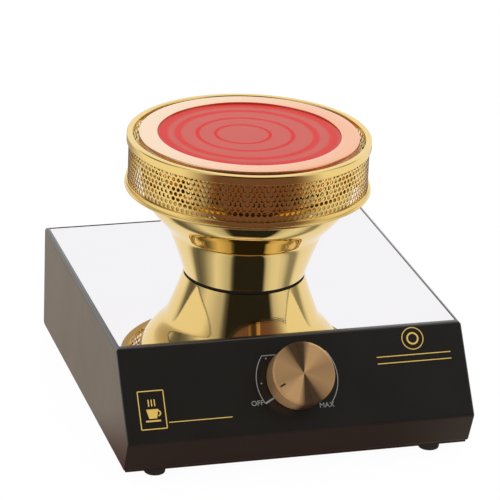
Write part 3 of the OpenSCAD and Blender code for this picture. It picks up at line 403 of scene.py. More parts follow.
def knobFinish():
    # turned and dyed aluminium, brushed round the axis; the wedges of light in its colour are painted
    # highlight and painted shade, fixed to the knob
    values = {"Metallic": 0.5, "Anisotropic": 0.8, "Specular IOR Level": 0.3}
    material, tree, shader, _ = newFinish("knobBronze", values)
    turnedMap = addNode(tree, "ShaderNodeUVMap", uv_map="turned").outputs["UV"]
    tangent = addNode(tree, "ShaderNodeTangent", direction_type="UV_MAP", uv_map="turned")
    tree.links.new(tangent.outputs["Tangent"], shader.inputs["Tangent"])
    stretched = addNode(tree, "ShaderNodeMapping", {"Vector": turnedMap, "Scale": (3.0, 900.0, 1.0)})
    lines = noiseValue(tree, stretched.outputs["Vector"], 1.0, 3.0)
    around = addNode(tree, "ShaderNodeSeparateXYZ", {0: turnedMap}).outputs["X"]
    halfTurn = mathNode(tree, "FRACT", mathNode(tree, "MULTIPLY_ADD", around, -2.0, knobPaintedSheenStart))
    ramp = addNode(tree, "ShaderNodeValToRGB", {"Fac": halfTurn})
    fillRamp(ramp, knobPaintedSheen)
    # painted highlight and painted shade: the sheen wedges go into the base colour
    paintedSheen = mathNode(tree, "MULTIPLY", ramp.outputs["Color"], 0.92)
    wedge = mathNode(tree, "MULTIPLY_ADD", lines, 0.10, paintedSheen)
    tone = mixColours(tree, wedge, (0.03, 0.016, 0.008), (0.72, 0.42, 0.19))
    tree.links.new(tone, shader.inputs["Base Color"])
    rough = addNode(tree, "ShaderNodeMapRange", {"Value": lines, "To Min": 0.30, "To Max": 0.40})
    tree.links.new(rough.outputs["Result"], shader.inputs["Roughness"])
    bumpNormal(tree, shader, lines, 0.12, 0.00008)
    return material


finishes = {
    "black_coating": mouldedFinish(
        "blackCoating", (0.012, 0.009, 0.007), (0.009, 0.007, 0.005), 0.28, 0.38,
        scale=1400.0, depth=0.05, dust=0.0,
        values={"Coat Weight": 0.9, "Coat Roughness": 0.12, "IOR": 1.4},
    ),
    "mirror_steel": metalFinish(
        "mirrorSteel", (0.94, 0.925, 0.945), (0.92, 0.905, 0.925), 0.012, 0.05, hazeScale=9.0
    ),
    "gold_plate": metalFinish(
        "goldPlate", (0.92, 0.69, 0.27), (0.88, 0.65, 0.24), 0.035, 0.07,
        pitch=0.0011, lines=0.02, hazeScale=14.0,
    ),
    "rose_gold": ringFinish(),
    "red_glass": windowFinish(),
    "knob_bronze": knobFinish(),
    "black_rubber": mouldedFinish(
        "blackRubber", (0.020, 0.016, 0.013), (0.014, 0.011, 0.009), 0.6, 0.8, scale=700.0, depth=0.3
    ),
    "silicone_seal": mouldedFinish(
        "siliconeSeal", (0.28, 0.03, 0.02), (0.22, 0.02, 0.015), 0.4, 0.55, scale=500.0
    ),
    "zinc_steel": metalFinish(
        "zincSteel", (0.62, 0.64, 0.67), (0.52, 0.54, 0.58), 0.18, 0.38, grain=0.15
    ),
    "nut_brass": metalFinish(
        "nutBrass", (0.80, 0.66, 0.38), (0.72, 0.58, 0.32), 0.18, 0.35, grain=0.12
    ),
    "reflector_aluminium": metalFinish(
        "reflectorAluminium", (0.90, 0.90, 0.91), (0.84, 0.84, 0.86), 0.12, 0.25, pitch=0.0008, lines=0.08
    ),
    "white_ceramic": mouldedFinish(
        "whiteCeramic", (0.80, 0.78, 0.72), (0.72, 0.70, 0.64), 0.45, 0.65, scale=500.0
    ),
    "quartz_glass": mouldedFinish(
        "quartzGlass", (0.95, 0.96, 0.97), (0.90, 0.92, 0.94), 0.02, 0.06, scale=300.0, depth=0.02, dust=0.0,
        values={"Transmission Weight": 1.0, "IOR": 1.46},
    ),
    "tungsten": metalFinish("tungstenWire", (0.52, 0.50, 0.48), (0.42, 0.40, 0.38), 0.3, 0.5, grain=0.1),
    "black_plastic": mouldedFinish(
        "blackPlastic", (0.022, 0.022, 0.023), (0.016, 0.016, 0.017), 0.35, 0.5, scale=1100.0
    ),
    "board_green": mouldedFinish(
        "boardGreen", (0.03, 0.16, 0.06), (0.02, 0.12, 0.045), 0.25, 0.4, scale=250.0, depth=0.05
    ),
    "block_green": mouldedFinish("blockGreen", (0.05, 0.26, 0.13), (0.04, 0.21, 0.10), 0.35, 0.5),
    "coil_copper": metalFinish("coilCopper", (0.86, 0.42, 0.22), (0.66, 0.28, 0.13), 0.2, 0.35, grain=0.4),
    "film_yellow": mouldedFinish("filmYellow", (0.62, 0.43, 0.05), (0.55, 0.37, 0.04), 0.25, 0.4),
    "brown_insulation": mouldedFinish("brownInsulation", (0.17, 0.06, 0.02), (0.13, 0.045, 0.015), 0.35, 0.5),
    "blue_insulation": mouldedFinish("blueInsulation", (0.02, 0.10, 0.42), (0.015, 0.08, 0.34), 0.35, 0.5),
    "green_insulation": mouldedFinish("greenInsulation", (0.10, 0.36, 0.03), (0.45, 0.42, 0.03), 0.35, 0.5),
    "glass_sleeving": mouldedFinish(
        "glassSleeving", (0.78, 0.75, 0.66), (0.68, 0.65, 0.56), 0.6, 0.8, scale=1800.0, depth=0.4
    ),
    "red_insulation": mouldedFinish("redInsulation", (0.48, 0.02, 0.02), (0.40, 0.015, 0.015), 0.35, 0.5),
    "grey_insulation": mouldedFinish("greyInsulation", (0.25, 0.25, 0.26), (0.20, 0.20, 0.21), 0.35, 0.5),
}
inkTones = {
    "paleInk": ((0.30, 0.29, 0.28), (0.25, 0.24, 0.23), 0.45, 0.6),
    "goldInk": ((0.74, 0.50, 0.10), (0.64, 0.42, 0.08), 0.35, 0.5),
    "darkInk": ((0.010, 0.009, 0.008), (0.007, 0.006, 0.006), 0.4, 0.55),
}
inks = {
    name: mouldedFinish(name, *tones, scale=2000.0, depth=0.1, dust=0.0) for name, tones in inkTones.items()
}
print("finishes built:", len(finishes) + len(inks))

# Which finish each carried-over node wears
nodeFinishes = {
    "black_coating": ["base_shell", "bottom_plate"],
    "mirror_steel": ["mirror_plate"],
    "gold_plate": [
        "bell", "collar_sleeve", "collar_top_rim", "collar_low_rim", "collar_brackets", "bracket_rivets",
    ],
    "rose_gold": ["glass_ring", "ring_screws"],
    "red_glass": ["glass_window"],
    "knob_bronze": ["knob"],
    "black_rubber": ["rubber_feet", "neck_gasket"],
    "silicone_seal": ["glass_seal"],
    "zinc_steel": [
        "bottom_screws", "foot_screws", "neck_clamp", "neck_screws", "lamp_bracket", "socket_screws",
        "knob_screw", "control_shaft", "control_washer", "board_screws", "heat_sink", "inlet_screws",
        "fan_screws",
    ],
    "nut_brass": [
        "plate_nuts", "neck_nuts", "socket_nuts", "thermal_cutout", "control_nut", "board_posts",
        "inlet_pins", "inlet_nuts", "earth_screw",
    ],
    "reflector_aluminium": ["reflector"],
    "white_ceramic": ["lamp_socket"],
    "quartz_glass": ["lamp_capsule"],
    "tungsten": ["lamp_filament"],
    "black_plastic": ["control_body", "power_switch_chip", "inlet_body", "fan_frame", "fan_rotor"],
    "board_green": ["circuit_board"],
    "block_green": ["terminal_block"],
    "coil_copper": ["choke_coil"],
    "film_yellow": ["film_capacitor"],
    "brown_insulation": ["live_lead"],
    "blue_insulation": ["neutral_lead"],
    "green_insulation": ["earth_lead"],
    "glass_sleeving": ["lamp_lead_a", "lamp_lead_b"],
    "red_insulation": ["fan_lead"],
    "grey_insulation": ["control_lead"],
}
for slotName, names in nodeFinishes.items():
    for nodeName in names:
        data = nodes[nodeName].data
        if not data.materials:
            data.materials.append(finishes[slotName])
        for materialSlot in nodes[nodeName].material_slots:
            materialSlot.material = finishes[slotName]
missed = sorted(set(nodes) - {name for names in nodeFinishes.values() for name in names})
print("nodes finished, left over:", missed)


# Outlines
def cubic(start, handle, otherHandle, end, steps):
    points = []
    for i in range(steps + 1):
        t = i / steps
        weights = ((1 - t) ** 3, 3 * (1 - t) ** 2 * t, 3 * (1 - t) * t * t, t ** 3)
        corners = (start, handle, otherHandle, end)
        points.append(tuple(sum(w * c[k] for w, c in zip(weights, corners)) for k in (0, 1)))
    return points


def roundedOutline(corners, steps=5):
    # corners: (a, b, radius); a corner with radius 0 stays sharp
    points = []
    count = len(corners)
    for i in range(count):
        here = Vector(corners[i][:2])
        radius = corners[i][2]
        if radius <= 0:
            points.append(tuple(here))
            continue
        back = (Vector(corners[i - 1][:2]) - here).normalized()
        on = (Vector(corners[(i + 1) % count][:2]) - here).normalized()
        half = back.angle(on) / 2
        reach = radius / math.tan(half)
        centre = here + (back + on).normalized() * (radius / math.sin(half))
        first = here + back * reach - centre
        last = here + on * reach - centre
        sweep = math.atan2(first.x * last.y - first.y * last.x, first.dot(last))
        for k in range(steps + 1):
            angle = sweep * k / steps
            points.append((
                centre.x + first.x * math.cos(angle) - first.y * math.sin(angle),
                centre.y + first.x * math.sin(angle) + first.y * math.cos(angle),
            ))
    return points


def insetCorners(corners, distance):
    # a convex outline moved inwards, its corner radii shrunk to match
    moved = []
    for i, corner in enumerate(corners):
        here = Vector(corner[:2])
        back = (Vector(corners[i - 1][:2]) - here).normalized()
        on = (Vector(corners[(i + 1) % len(corners)][:2]) - here).normalized()
        half = back.angle(on) / 2
        place = here + (back + on).normalized() * (distance / math.sin(half))
        moved.append((place.x, place.y, max(corner[2] - distance, 0.00005)))
    return moved


# Mesh helpers
def linkMesh(name, mesh):
    piece = bpy.data.objects.new(name, mesh)
    scene.collection.objects.link(piece)
    return piece


def plainMesh(source, name):
    # the evaluated shape as a plain mesh; the source object and its modifiers go
    graph = bpy.context.evaluated_depsgraph_get()
    mesh = bpy.data.meshes.new_from_object(source.evaluated_get(graph))
    mesh.name = name
    bpy.data.objects.remove(source)
    return mesh


def faceOutwards(mesh, weld=1e-6):
    shape = bmesh.new()
    shape.from_mesh(mesh)
    if weld:
        bmesh.ops.remove_doubles(shape, verts=shape.verts, dist=weld)
    bmesh.ops.recalc_face_normals(shape, faces=shape.faces)
    shape.to_mesh(mesh)
    shape.free()


def smoothPiece(mesh, name, sharp=32.0):
    # smooth shading that keeps broad faces flat and edges above the angle sharp
    mesh.shade_smooth()
    mesh.set_sharp_from_angle(angle=math.radians(sharp))
    piece = linkMesh(name, mesh)
    weighted = piece.modifiers.new("evenFaces", "WEIGHTED_NORMAL")
    weighted.keep_sharp = True
    weighted.weight = 80
    return linkMesh(name, plainMesh(piece, name))


def inputName(tree, label):
    for item in tree.interface.items_tree:
        if item.item_type == "SOCKET" and item.in_out == "INPUT" and item.name == label:
            return item.identifier
    raise KeyError(label)


def runTree(source, tree, values, name):
    # puts the tree on the object with its inputs set, and takes the result off as a plain mesh
    modifier = source.modifiers.new(tree.name, "NODES")
    modifier.node_group = tree
    for label, value in values.items():
        modifier[inputName(tree, label)] = value
    return plainMesh(source, name)


def newTree(name, inputs):
    tree = bpy.data.node_groups.new(name, "GeometryNodeTree")
    for label, kind in inputs:
        tree.interface.new_socket(label, in_out="INPUT", socket_type="NodeSocket" + kind)
    tree.interface.new_socket("Piece", in_out="OUTPUT", socket_type="NodeSocketGeometry")
    return tree, tree.nodes.new("NodeGroupInput").outputs, tree.nodes.new("NodeGroupOutput").inputs


def endTree(tree, source, target, geometry):
    real = addNode(tree, "GeometryNodeRealizeInstances", {"Geometry": geometry})
    finish = addNode(
        tree, "GeometryNodeSetMaterial", {"Geometry": real.outputs[0], "Material": source["Finish"]}
    )
    tree.links.new(finish.outputs[0], target["Piece"])


# Turned pieces: an outline swept round an axis
def sweepOutline(tree, source):
    circle = addNode(
        tree, "GeometryNodeCurvePrimitiveCircle",
        {"Radius": source["Axis Radius"], "Resolution": source["Sides"]},
    )
    swept = addNode(
        tree, "GeometryNodeCurveToMesh",
        {"Curve": circle.outputs["Curve"], "Profile Curve": source["Outline"]},
    )
    return swept.outputs["Mesh"]


def makeTurnedTree():
    tree, source, target = newTree(
        "turnedPiece",
        [("Outline", "Geometry"), ("Axis Radius", "Float"), ("Sides", "Int"), ("Finish", "Material")],
    )
    welded = addNode(
        tree, "GeometryNodeMergeByDistance", {"Geometry": sweepOutline(tree, source), "Distance": 1e-6}
    )
    endTree(tree, source, target, welded.outputs["Geometry"])
    return tree


turnedTree = makeTurnedTree()


def outlineCurve(points, axisRadius, closed):
    # (radius, height) pairs as a curve about the sweep circle, whose profile runs downwards
    curve = bpy.data.curves.new("outline", "CURVE")
    curve.dimensions = "3D"
    line = curve.splines.new("POLY")
    line.points.add(len(points) - 1)
    for point, (radius, height) in zip(line.points, points):
        point.co = (radius - axisRadius, -height, 0.0, 1.0)
    line.use_cyclic_u = closed
    return linkMesh("outline", curve)


def addTurnedMap(mesh):
    # U goes once round the axis, V runs along the outline in units of 0.1 m
    layer = mesh.uv_layers.new(name="turned")
    for face in mesh.polygons:
        corners = [mesh.vertices[mesh.loops[i].vertex_index].co for i in face.loop_indices]
        angles = [math.atan2(c.y, c.x) / math.tau % 1.0 for c in corners]
        onAxis = [math.hypot(c.x, c.y) < 1e-6 for c in corners]
        known = [a for a, pole in zip(angles, onAxis) if not pole]
        if max(known) - min(known) > 0.5:
            angles = [a + 1.0 if a < 0.5 else a for a in angles]
            known = [a for a, pole in zip(angles, onAxis) if not pole]
        middle = sum(known) / len(known)
        for i, corner, angle, pole in zip(face.loop_indices, corners, angles, onAxis):
            along = (math.hypot(corner.x, corner.y) - corner.z) * 10.0
            layer.data[i].uv = (middle if pole else angle, along)


def turnedPiece(name, points, finish, place, sides=128, closed=True, sharp=32.0, turnedMap=False):
    scaled = [(radius * mm, height * mm) for radius, height in points]
    axisRadius = max(radius for radius, height in scaled)
    source = outlineCurve(scaled, axisRadius, closed)
    values = {"Axis Radius": axisRadius, "Sides": sides, "Finish": finish}
    mesh = runTree(source, turnedTree, values, name)
    faceOutwards(mesh)
    if turnedMap:
        addTurnedMap(mesh)
    mesh.transform(place)
    return smoothPiece(mesh, name, sharp)


def settle(piece, body, slotName, *replaced):
    if replaced:
        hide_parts(*replaced)
    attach(piece, body)


# Lamp head
# Sizes in millimetres; heights are measured from the top of the mirror plate
bellSizes = {
    "foot": 35.5,
    "drum": 61.4,
    "gasket": 1.0,
    "wall": 1.0,
    "footHole": 24.0,
    "shelfTop": 77.85,
    "shelfHole": 51.8,
    "top": 83.95,
}


def bellOutline(s):
    low = s["gasket"]
    foot, drum = s["foot"], s["drum"]
    line = cubic((foot, 0), (foot + 2.4, 8), (foot + 6, 18), (foot + 9.2, 25.5), 14)
    line += cubic((foot + 9.6, 26.3), (foot + 11.3, 30), (drum - 6.9, 36), (drum - 3.8, 42.5), 16)
    line += cubic((drum - 3.5, 43.2), (drum - 2.2, 46), (drum, 53), (drum, 61), 12)
    outer = [(radius, height + low) for radius, height in line] + [(drum, s["top"])]
    wall = s["wall"]
    inner = [(radius - wall, max(height, low + wall)) for radius, height in reversed(outer)]
    shelfLow = s["shelfTop"] - wall
    above = [p for p in inner if p[1] > s["shelfTop"]]
    below = [p for p in inner if p[1] < shelfLow]
    shelf = [
        (drum - wall, s["shelfTop"]), (s["shelfHole"], s["shelfTop"]),
        (s["shelfHole"], shelfLow), (drum - wall, shelfLow),
    ]
    footRing = [(s["footHole"], low + wall), (s["footHole"], low)]
    return outer + above + shelf + below + footRing


bell = turnedPiece("bellShell", bellOutline(bellSizes), finishes["gold_plate"], headPlace, sides=160)
settle(bell, "base", "gold_plate", "bell")

gasketSizes = {"outer": 34.9, "inner": 24.0, "height": 1.0, "edge": 0.2}


def plainRing(outer, inner, low, high, edge):
    corners = [(outer, low, edge), (outer, high, edge), (inner, high, edge), (inner, low, edge)]
    return roundedOutline(corners, 3)


gasket = turnedPiece(
    "neckSeal",
    plainRing(gasketSizes["outer"], gasketSizes["inner"], 0.0, gasketSizes["height"], gasketSizes["edge"]),
    finishes["black_rubber"], headPlace, sides=96,
)
settle(gasket, "base", "black_rubber", "neck_gasket")

ringSizes = {
    "outer": 63.5,
    "view": 52.8,
    "skirtInner": 61.55,
    "skirt": 6.0,
    "lip": 1.2,
    "top": 85.3,
    "crown": 0.35,
    "crownRun": 2.6,
}


def ringOutline(s):
    top, lipLow = s["top"], s["top"] - s["lip"]
    edge = top - s["crown"]
    corners = [
        (s["view"], lipLow, 0.1),
        (s["skirtInner"], lipLow, 0.1),
        (s["skirtInner"], lipLow - s["skirt"], 0.1),
        (s["outer"], lipLow - s["skirt"], 0.3),
        (s["outer"], edge - 0.1, 0.8),
        (s["outer"] - s["crownRun"], top, 2.0),
        (s["view"] + s["crownRun"], top, 2.0),
        (s["view"], edge - 0.05, 0.3),
    ]
    return roundedOutline(corners, 4)


glassRing = turnedPiece("glassRing", ringOutline(ringSizes), finishes["rose_gold"], headPlace, sides=192)
settle(glassRing, "base", "rose_gold", "glass_ring")

windowSizes = {
    "radius": 56.5,
    "top": 83.95,
    "thickness": 4.0,
    "edge": 0.5,
    "ribWidth": 1.0,
    "ribHeight": 0.5,
}


def windowOutline(s):
    # from the axis along the ribbed underside, round the edge and back to the axis on top
    low = s["top"] - s["thickness"]
    ribLow = low - s["ribHeight"]
    corners = [(0.0, low, 0)]
    for radius in windowRings["radii"]:
        for side, height in ((-1, low), (-0.6, ribLow), (0.6, ribLow), (1, low)):
            corners.append((radius + side * s["ribWidth"] / 2, height, 0))
    corners += [(s["radius"], low, s["edge"]), (s["radius"], s["top"], s["edge"]), (0.0, s["top"], 0)]
    return roundedOutline(corners, 4)


window = turnedPiece(
    "glassDisc", windowOutline(windowSizes), finishes["red_glass"], headPlace, sides=144, closed=False
)
settle(window, "base", "red_glass", "glass_window")

sealSizes = {"outer": 56.0, "inner": 52.3, "low": 78.45, "high": 79.95, "edge": 0.35}
seal = turnedPiece(
    "windowSeal",
    plainRing(sealSizes["outer"], sealSizes["inner"], sealSizes["low"], sealSizes["high"], sealSizes["edge"]),
    finishes["silicone_seal"], headPlace, sides=96,
)
settle(seal, "base", "silicone_seal", "glass_seal")
print("lamp head turned")

# Collar
collarSizes = {
    "band": 70.35,
    "inner": 66.65,
    "high": 84.4,
    "low": 52.9,
    "topBand": 5.1,
    "lowBand": 4.1,
    "bead": 0.7,
    "beadHeight": 1.5,
    "groove": 0.2,
    "grooveLow": 1.55,
    "grooveHigh": 2.1,
    "bandStart": 2.15,
    "wall": 1.0,
    "lip": 3.0,
    "lipWall": 0.8,
}


def topRimOutline(s):
    band, inner, high = s["band"], s["inner"], s["high"]
    return roundedOutline([
        (band - s["wall"], high - s["topBand"], 0.15),
        (band, high - s["topBand"], 0.25),
        (band, high, 1.1),
        (inner, high, 0.9),
        (inner, high - s["lip"], 0.2),
        (inner + s["lipWall"], high - s["lip"], 0.2),
        (inner + s["lipWall"], high - s["wall"], 0.1),
        (band - s["wall"], high - s["wall"], 0.1),
    ], 5)


def lowRimOutline(s):
    band, inner, low = s["band"], s["inner"], s["low"]
    return roundedOutline([
        (band - s["wall"], low + s["lowBand"], 0.15),
        (band - s["wall"], low + s["wall"], 0.1),
        (inner + s["lipWall"], low + s["wall"], 0.1),
        (inner + s["lipWall"], low + s["lip"], 0.2),
        (inner, low + s["lip"], 0.2),
        (inner, low, 0.5),
        (band + s["bead"], low, 0.65),
        (band + s["bead"], low + s["beadHeight"], 0.65),
        (band - s["groove"], low + s["grooveLow"], 0.12),
        (band - s["groove"], low + s["grooveHigh"], 0.12),
        (band, low + s["bandStart"], 0.15),
        (band, low + s["lowBand"], 0.25),
    ], 4)


topRim = turnedPiece("collarTopRim", topRimOutline(collarSizes), finishes["gold_plate"], headPlace, sides=192)
settle(topRim, "base", "gold_plate", "collar_top_rim")
lowRim = turnedPiece("collarLowRim", lowRimOutline(collarSizes), finishes["gold_plate"], headPlace, sides=192)
settle(lowRim, "base", "gold_plate", "collar_low_rim")

# Perforated sleeve: hexagon cells with a round hole, in staggered rows, bent round the axis
sleeveSizes = {
    "outer": 69.2,
    "wall": 0.6,
    "low": 53.95,
    "columns": 132,
    "rows": 10,
    "hole": 1.3,
    "holeSides": 12,
}


def makeSleeveTree():
    tree, source, target = newTree(
        "perforatedSleeve",
        [
            ("Cell", "Geometry"), ("Columns", "Int"), ("Rows", "Int"), ("Pitch", "Float"),
            ("Row Pitch", "Float"), ("Inner Radius", "Float"), ("Wall", "Float"), ("Finish", "Material"),
        ],
    )
    total = mathNode(tree, "MULTIPLY", source["Columns"], source["Rows"])
    spots = addNode(tree, "GeometryNodePoints", {"Count": total})
    index = addNode(tree, "GeometryNodeInputIndex").outputs[0]
    rowShare = mathNode(tree, "DIVIDE", mathNode(tree, "ADD", index, 0.5), source["Columns"])
    row = mathNode(tree, "FLOOR", rowShare)
    column = mathNode(tree, "SUBTRACT", index, mathNode(tree, "MULTIPLY", row, source["Columns"]))
    shift = mathNode(tree, "MULTIPLY", mathNode(tree, "FLOORED_MODULO", row, 2.0), 0.5)
    across = mathNode(tree, "MULTIPLY", mathNode(tree, "ADD", column, shift), source["Pitch"])
    upward = mathNode(tree, "MULTIPLY", row, source["Row Pitch"])
    flat = addNode(tree, "ShaderNodeCombineXYZ", {"X": across, "Y": upward})
    placed = addNode(
        tree, "GeometryNodeSetPosition", {"Geometry": spots.outputs[0], "Position": flat.outputs[0]}
    )
    cells = addNode(
        tree, "GeometryNodeInstanceOnPoints", {"Points": placed.outputs[0], "Instance": source["Cell"]}
    )
    sheet = addNode(tree, "GeometryNodeRealizeInstances", {"Geometry": cells.outputs[0]})
    spot = addNode(tree, "ShaderNodeSeparateXYZ", {0: addNode(tree, "GeometryNodeInputPosition").outputs[0]})
    length = mathNode(tree, "MULTIPLY", source["Columns"], source["Pitch"])
    angle = mathNode(tree, "MULTIPLY", mathNode(tree, "DIVIDE", spot.outputs["X"], length), math.tau)
    bentX = mathNode(tree, "MULTIPLY", mathNode(tree, "COSINE", angle), source["Inner Radius"])
    bentY = mathNode(tree, "MULTIPLY", mathNode(tree, "SINE", angle), source["Inner Radius"])
    bent = addNode(tree, "ShaderNodeCombineXYZ", {"X": bentX, "Y": bentY, "Z": spot.outputs["Y"]})
    tube = addNode(
        tree, "GeometryNodeSetPosition", {"Geometry": sheet.outputs[0], "Position": bent.outputs[0]}
    )
    welded = addNode(tree, "GeometryNodeMergeByDistance", {"Geometry": tube.outputs[0], "Distance": 2e-5})
    here = addNode(tree, "GeometryNodeInputPosition").outputs[0]
    outwards = addNode(tree, "ShaderNodeVectorMath", {0: here, 1: (1.0, 1.0, 0.0)}, operation="MULTIPLY")
    unit = addNode(tree, "ShaderNodeVectorMath", {0: outwards.outputs[0]}, operation="NORMALIZE")
    thick = addNode(
        tree, "GeometryNodeExtrudeMesh",
        {
            "Mesh": welded.outputs[0], "Offset": unit.outputs[0],
            "Offset Scale": source["Wall"], "Individual": False,
        },
    )
    inside = addNode(tree, "GeometryNodeFlipFaces", {"Mesh": welded.outputs[0]})
    joined = tree.nodes.new("GeometryNodeJoinGeometry")
    tree.links.new(thick.outputs["Mesh"], joined.inputs[0])
    tree.links.new(inside.outputs["Mesh"], joined.inputs[0])
    closed = addNode(
        tree, "GeometryNodeMergeByDistance", {"Geometry": joined.outputs[0], "Distance": 1e-5}
    )
    endTree(tree, source, target, closed.outputs[0])
    return tree


def hexagonCell(pitch, holeRadius, sides):
    # a pointed-top hexagon as wide as the pitch, with a round hole: one quad for each side of the hole
    corner = pitch / math.sqrt(3)
    rim, hole = [], []
    for i in range(sides):
        angle = math.tau * i / sides
        nearest = round((angle - math.pi / 6) / (math.pi / 3)) * math.pi / 3 + math.pi / 6
        away = angle - nearest
        flat = corner * math.cos(math.pi / 6) / math.cos(math.pi / 6 - abs(away))
        reach = corner if abs(away) < 1e-6 else flat
        rim.append((reach * math.cos(angle), reach * math.sin(angle), 0.0))
        hole.append((holeRadius * math.cos(angle), holeRadius * math.sin(angle), 0.0))
    faces = [(i, (i + 1) % sides, sides + (i + 1) % sides, sides + i) for i in range(sides)]
    mesh = bpy.data.meshes.new("cell")
    mesh.from_pydata(rim + hole, [], faces)
    return mesh


def makeSleeve(s):
    innerRadius = (s["outer"] - s["wall"]) * mm
    pitch = math.tau * s["outer"] * mm / s["columns"]
    rowPitch = pitch * math.sqrt(3) / 2
    source = linkMesh("cell", hexagonCell(pitch, s["hole"] * mm, s["holeSides"]))
    values = {
        "Columns": s["columns"], "Rows": s["rows"], "Pitch": pitch, "Row Pitch": rowPitch,
        "Inner Radius": innerRadius, "Wall": s["wall"] * mm, "Finish": finishes["gold_plate"],
    }
    mesh = runTree(source, makeSleeveTree(), values, "perforatedSleeve")
    faceOutwards(mesh)
    low = min(vertex.co.z for vertex in mesh.vertices)
    mesh.transform(headPlace @ Matrix.Translation((0, 0, s["low"] * mm - low)))
    return smoothPiece(mesh, "perforatedSleeve", 40.0)


sleeve = makeSleeve(sleeveSizes)
settle(sleeve, "base", "gold_plate", "collar_sleeve")
print("collar made:", len(sleeve.data.polygons), "faces in the sleeve")

# Housing
# Sizes in millimetres; past and through are how far a cutter runs outside and inside the sheet
housingSizes = {
    "width": 200.0,
    "depth": 182.0,
    "height": 63.0,
    "kneeOut": 32.0,
    "kneeUp": 19.0,
    "toeIn": 7.5,
    "bend": 2.4,
    "sideEdge": 0.9,
    "topEdge": 2.4,
    "sheet": 1.2,
    "rim": 2.4,
    "flange": 13.0,
    "pocket": 1.3,
    "ledge": 2.5,
    "knobHole": 4.1,
    "ventCount": 8,
    "ventWidth": 3.0,
    "ventHeight": 22.0,
    "ventPitch": 8.0,
    "ventFirst": 8.0,
    "inletHalf": (13.6, 10.1),
    "past": 10.0,
    "through": 4.0,
}


def prism(name, outlines):
    # closed solid through equal-count loops: [(x, [(y, z), ...]), ...], lowest x first
    shape = bmesh.new()
    rings = [[shape.verts.new((x, y, z)) for y, z in loop] for x, loop in outlines]
    count = len(rings[0])
    for near, far in zip(rings, rings[1:]):
        for i in range(count):
            shape.faces.new((near[i], near[(i + 1) % count], far[(i + 1) % count], far[i]))
    shape.faces.new(rings[0])
    shape.faces.new(rings[-1])
    bmesh.ops.recalc_face_normals(shape, faces=shape.faces)
    mesh = bpy.data.meshes.new(name)
    shape.to_mesh(mesh)
    shape.free()
    return linkMesh(name, mesh)


def boxCutter(name, low, high):
    loop = [(low[1], low[2]), (high[1], low[2]), (high[1], high[2]), (low[1], high[2])]
    return prism(name, [(low[0], loop), (high[0], loop)])


def roundCutter(name, radius, low, high, place, sides=48):
    turns = [math.tau * i / sides for i in range(sides)]
    ring = [(radius * math.cos(turn), radius * math.sin(turn)) for turn in turns]
    cutter = prism(name, [(low, ring), (high, ring)])
    cutter.data.transform(place @ Matrix.Rotation(math.radians(-90), 4, "Y"))
    return cutter


def edgeCutter(name, half, top, radius, near, far, side, past):
    # takes a top side edge to a quarter round, from near to far along Y
    arc = [math.pi / 2 * i / 6 for i in range(7)]
    loop = [(side * (half - radius + radius * math.sin(a)), top - radius + radius * math.cos(a)) for a in arc]
    loop += [(side * (half + past), top - radius), (side * (half + past), top + past)]
    loop += [(side * (half - radius), top + past)]
    cutter = prism(name, [(near, loop), (far, loop)])
    swapAxes = Matrix(((0, 1, 0, 0), (1, 0, 0, 0), (0, 0, 1, 0), (0, 0, 0, 1)))
    cutter.data.transform(swapAxes)
    faceOutwards(cutter.data, 0)
    return cutter


def cutAway(body, cutters):
    for number, cutter in enumerate(cutters):
        cut = body.modifiers.new(f"cut{number}", "BOOLEAN")
        cut.operation = "DIFFERENCE"
        cut.solver = "EXACT"
        cut.object = cutter
    name = body.name
    mesh = plainMesh(body, name)
    for cutter in cutters:
        bpy.data.objects.remove(cutter)
    return mesh


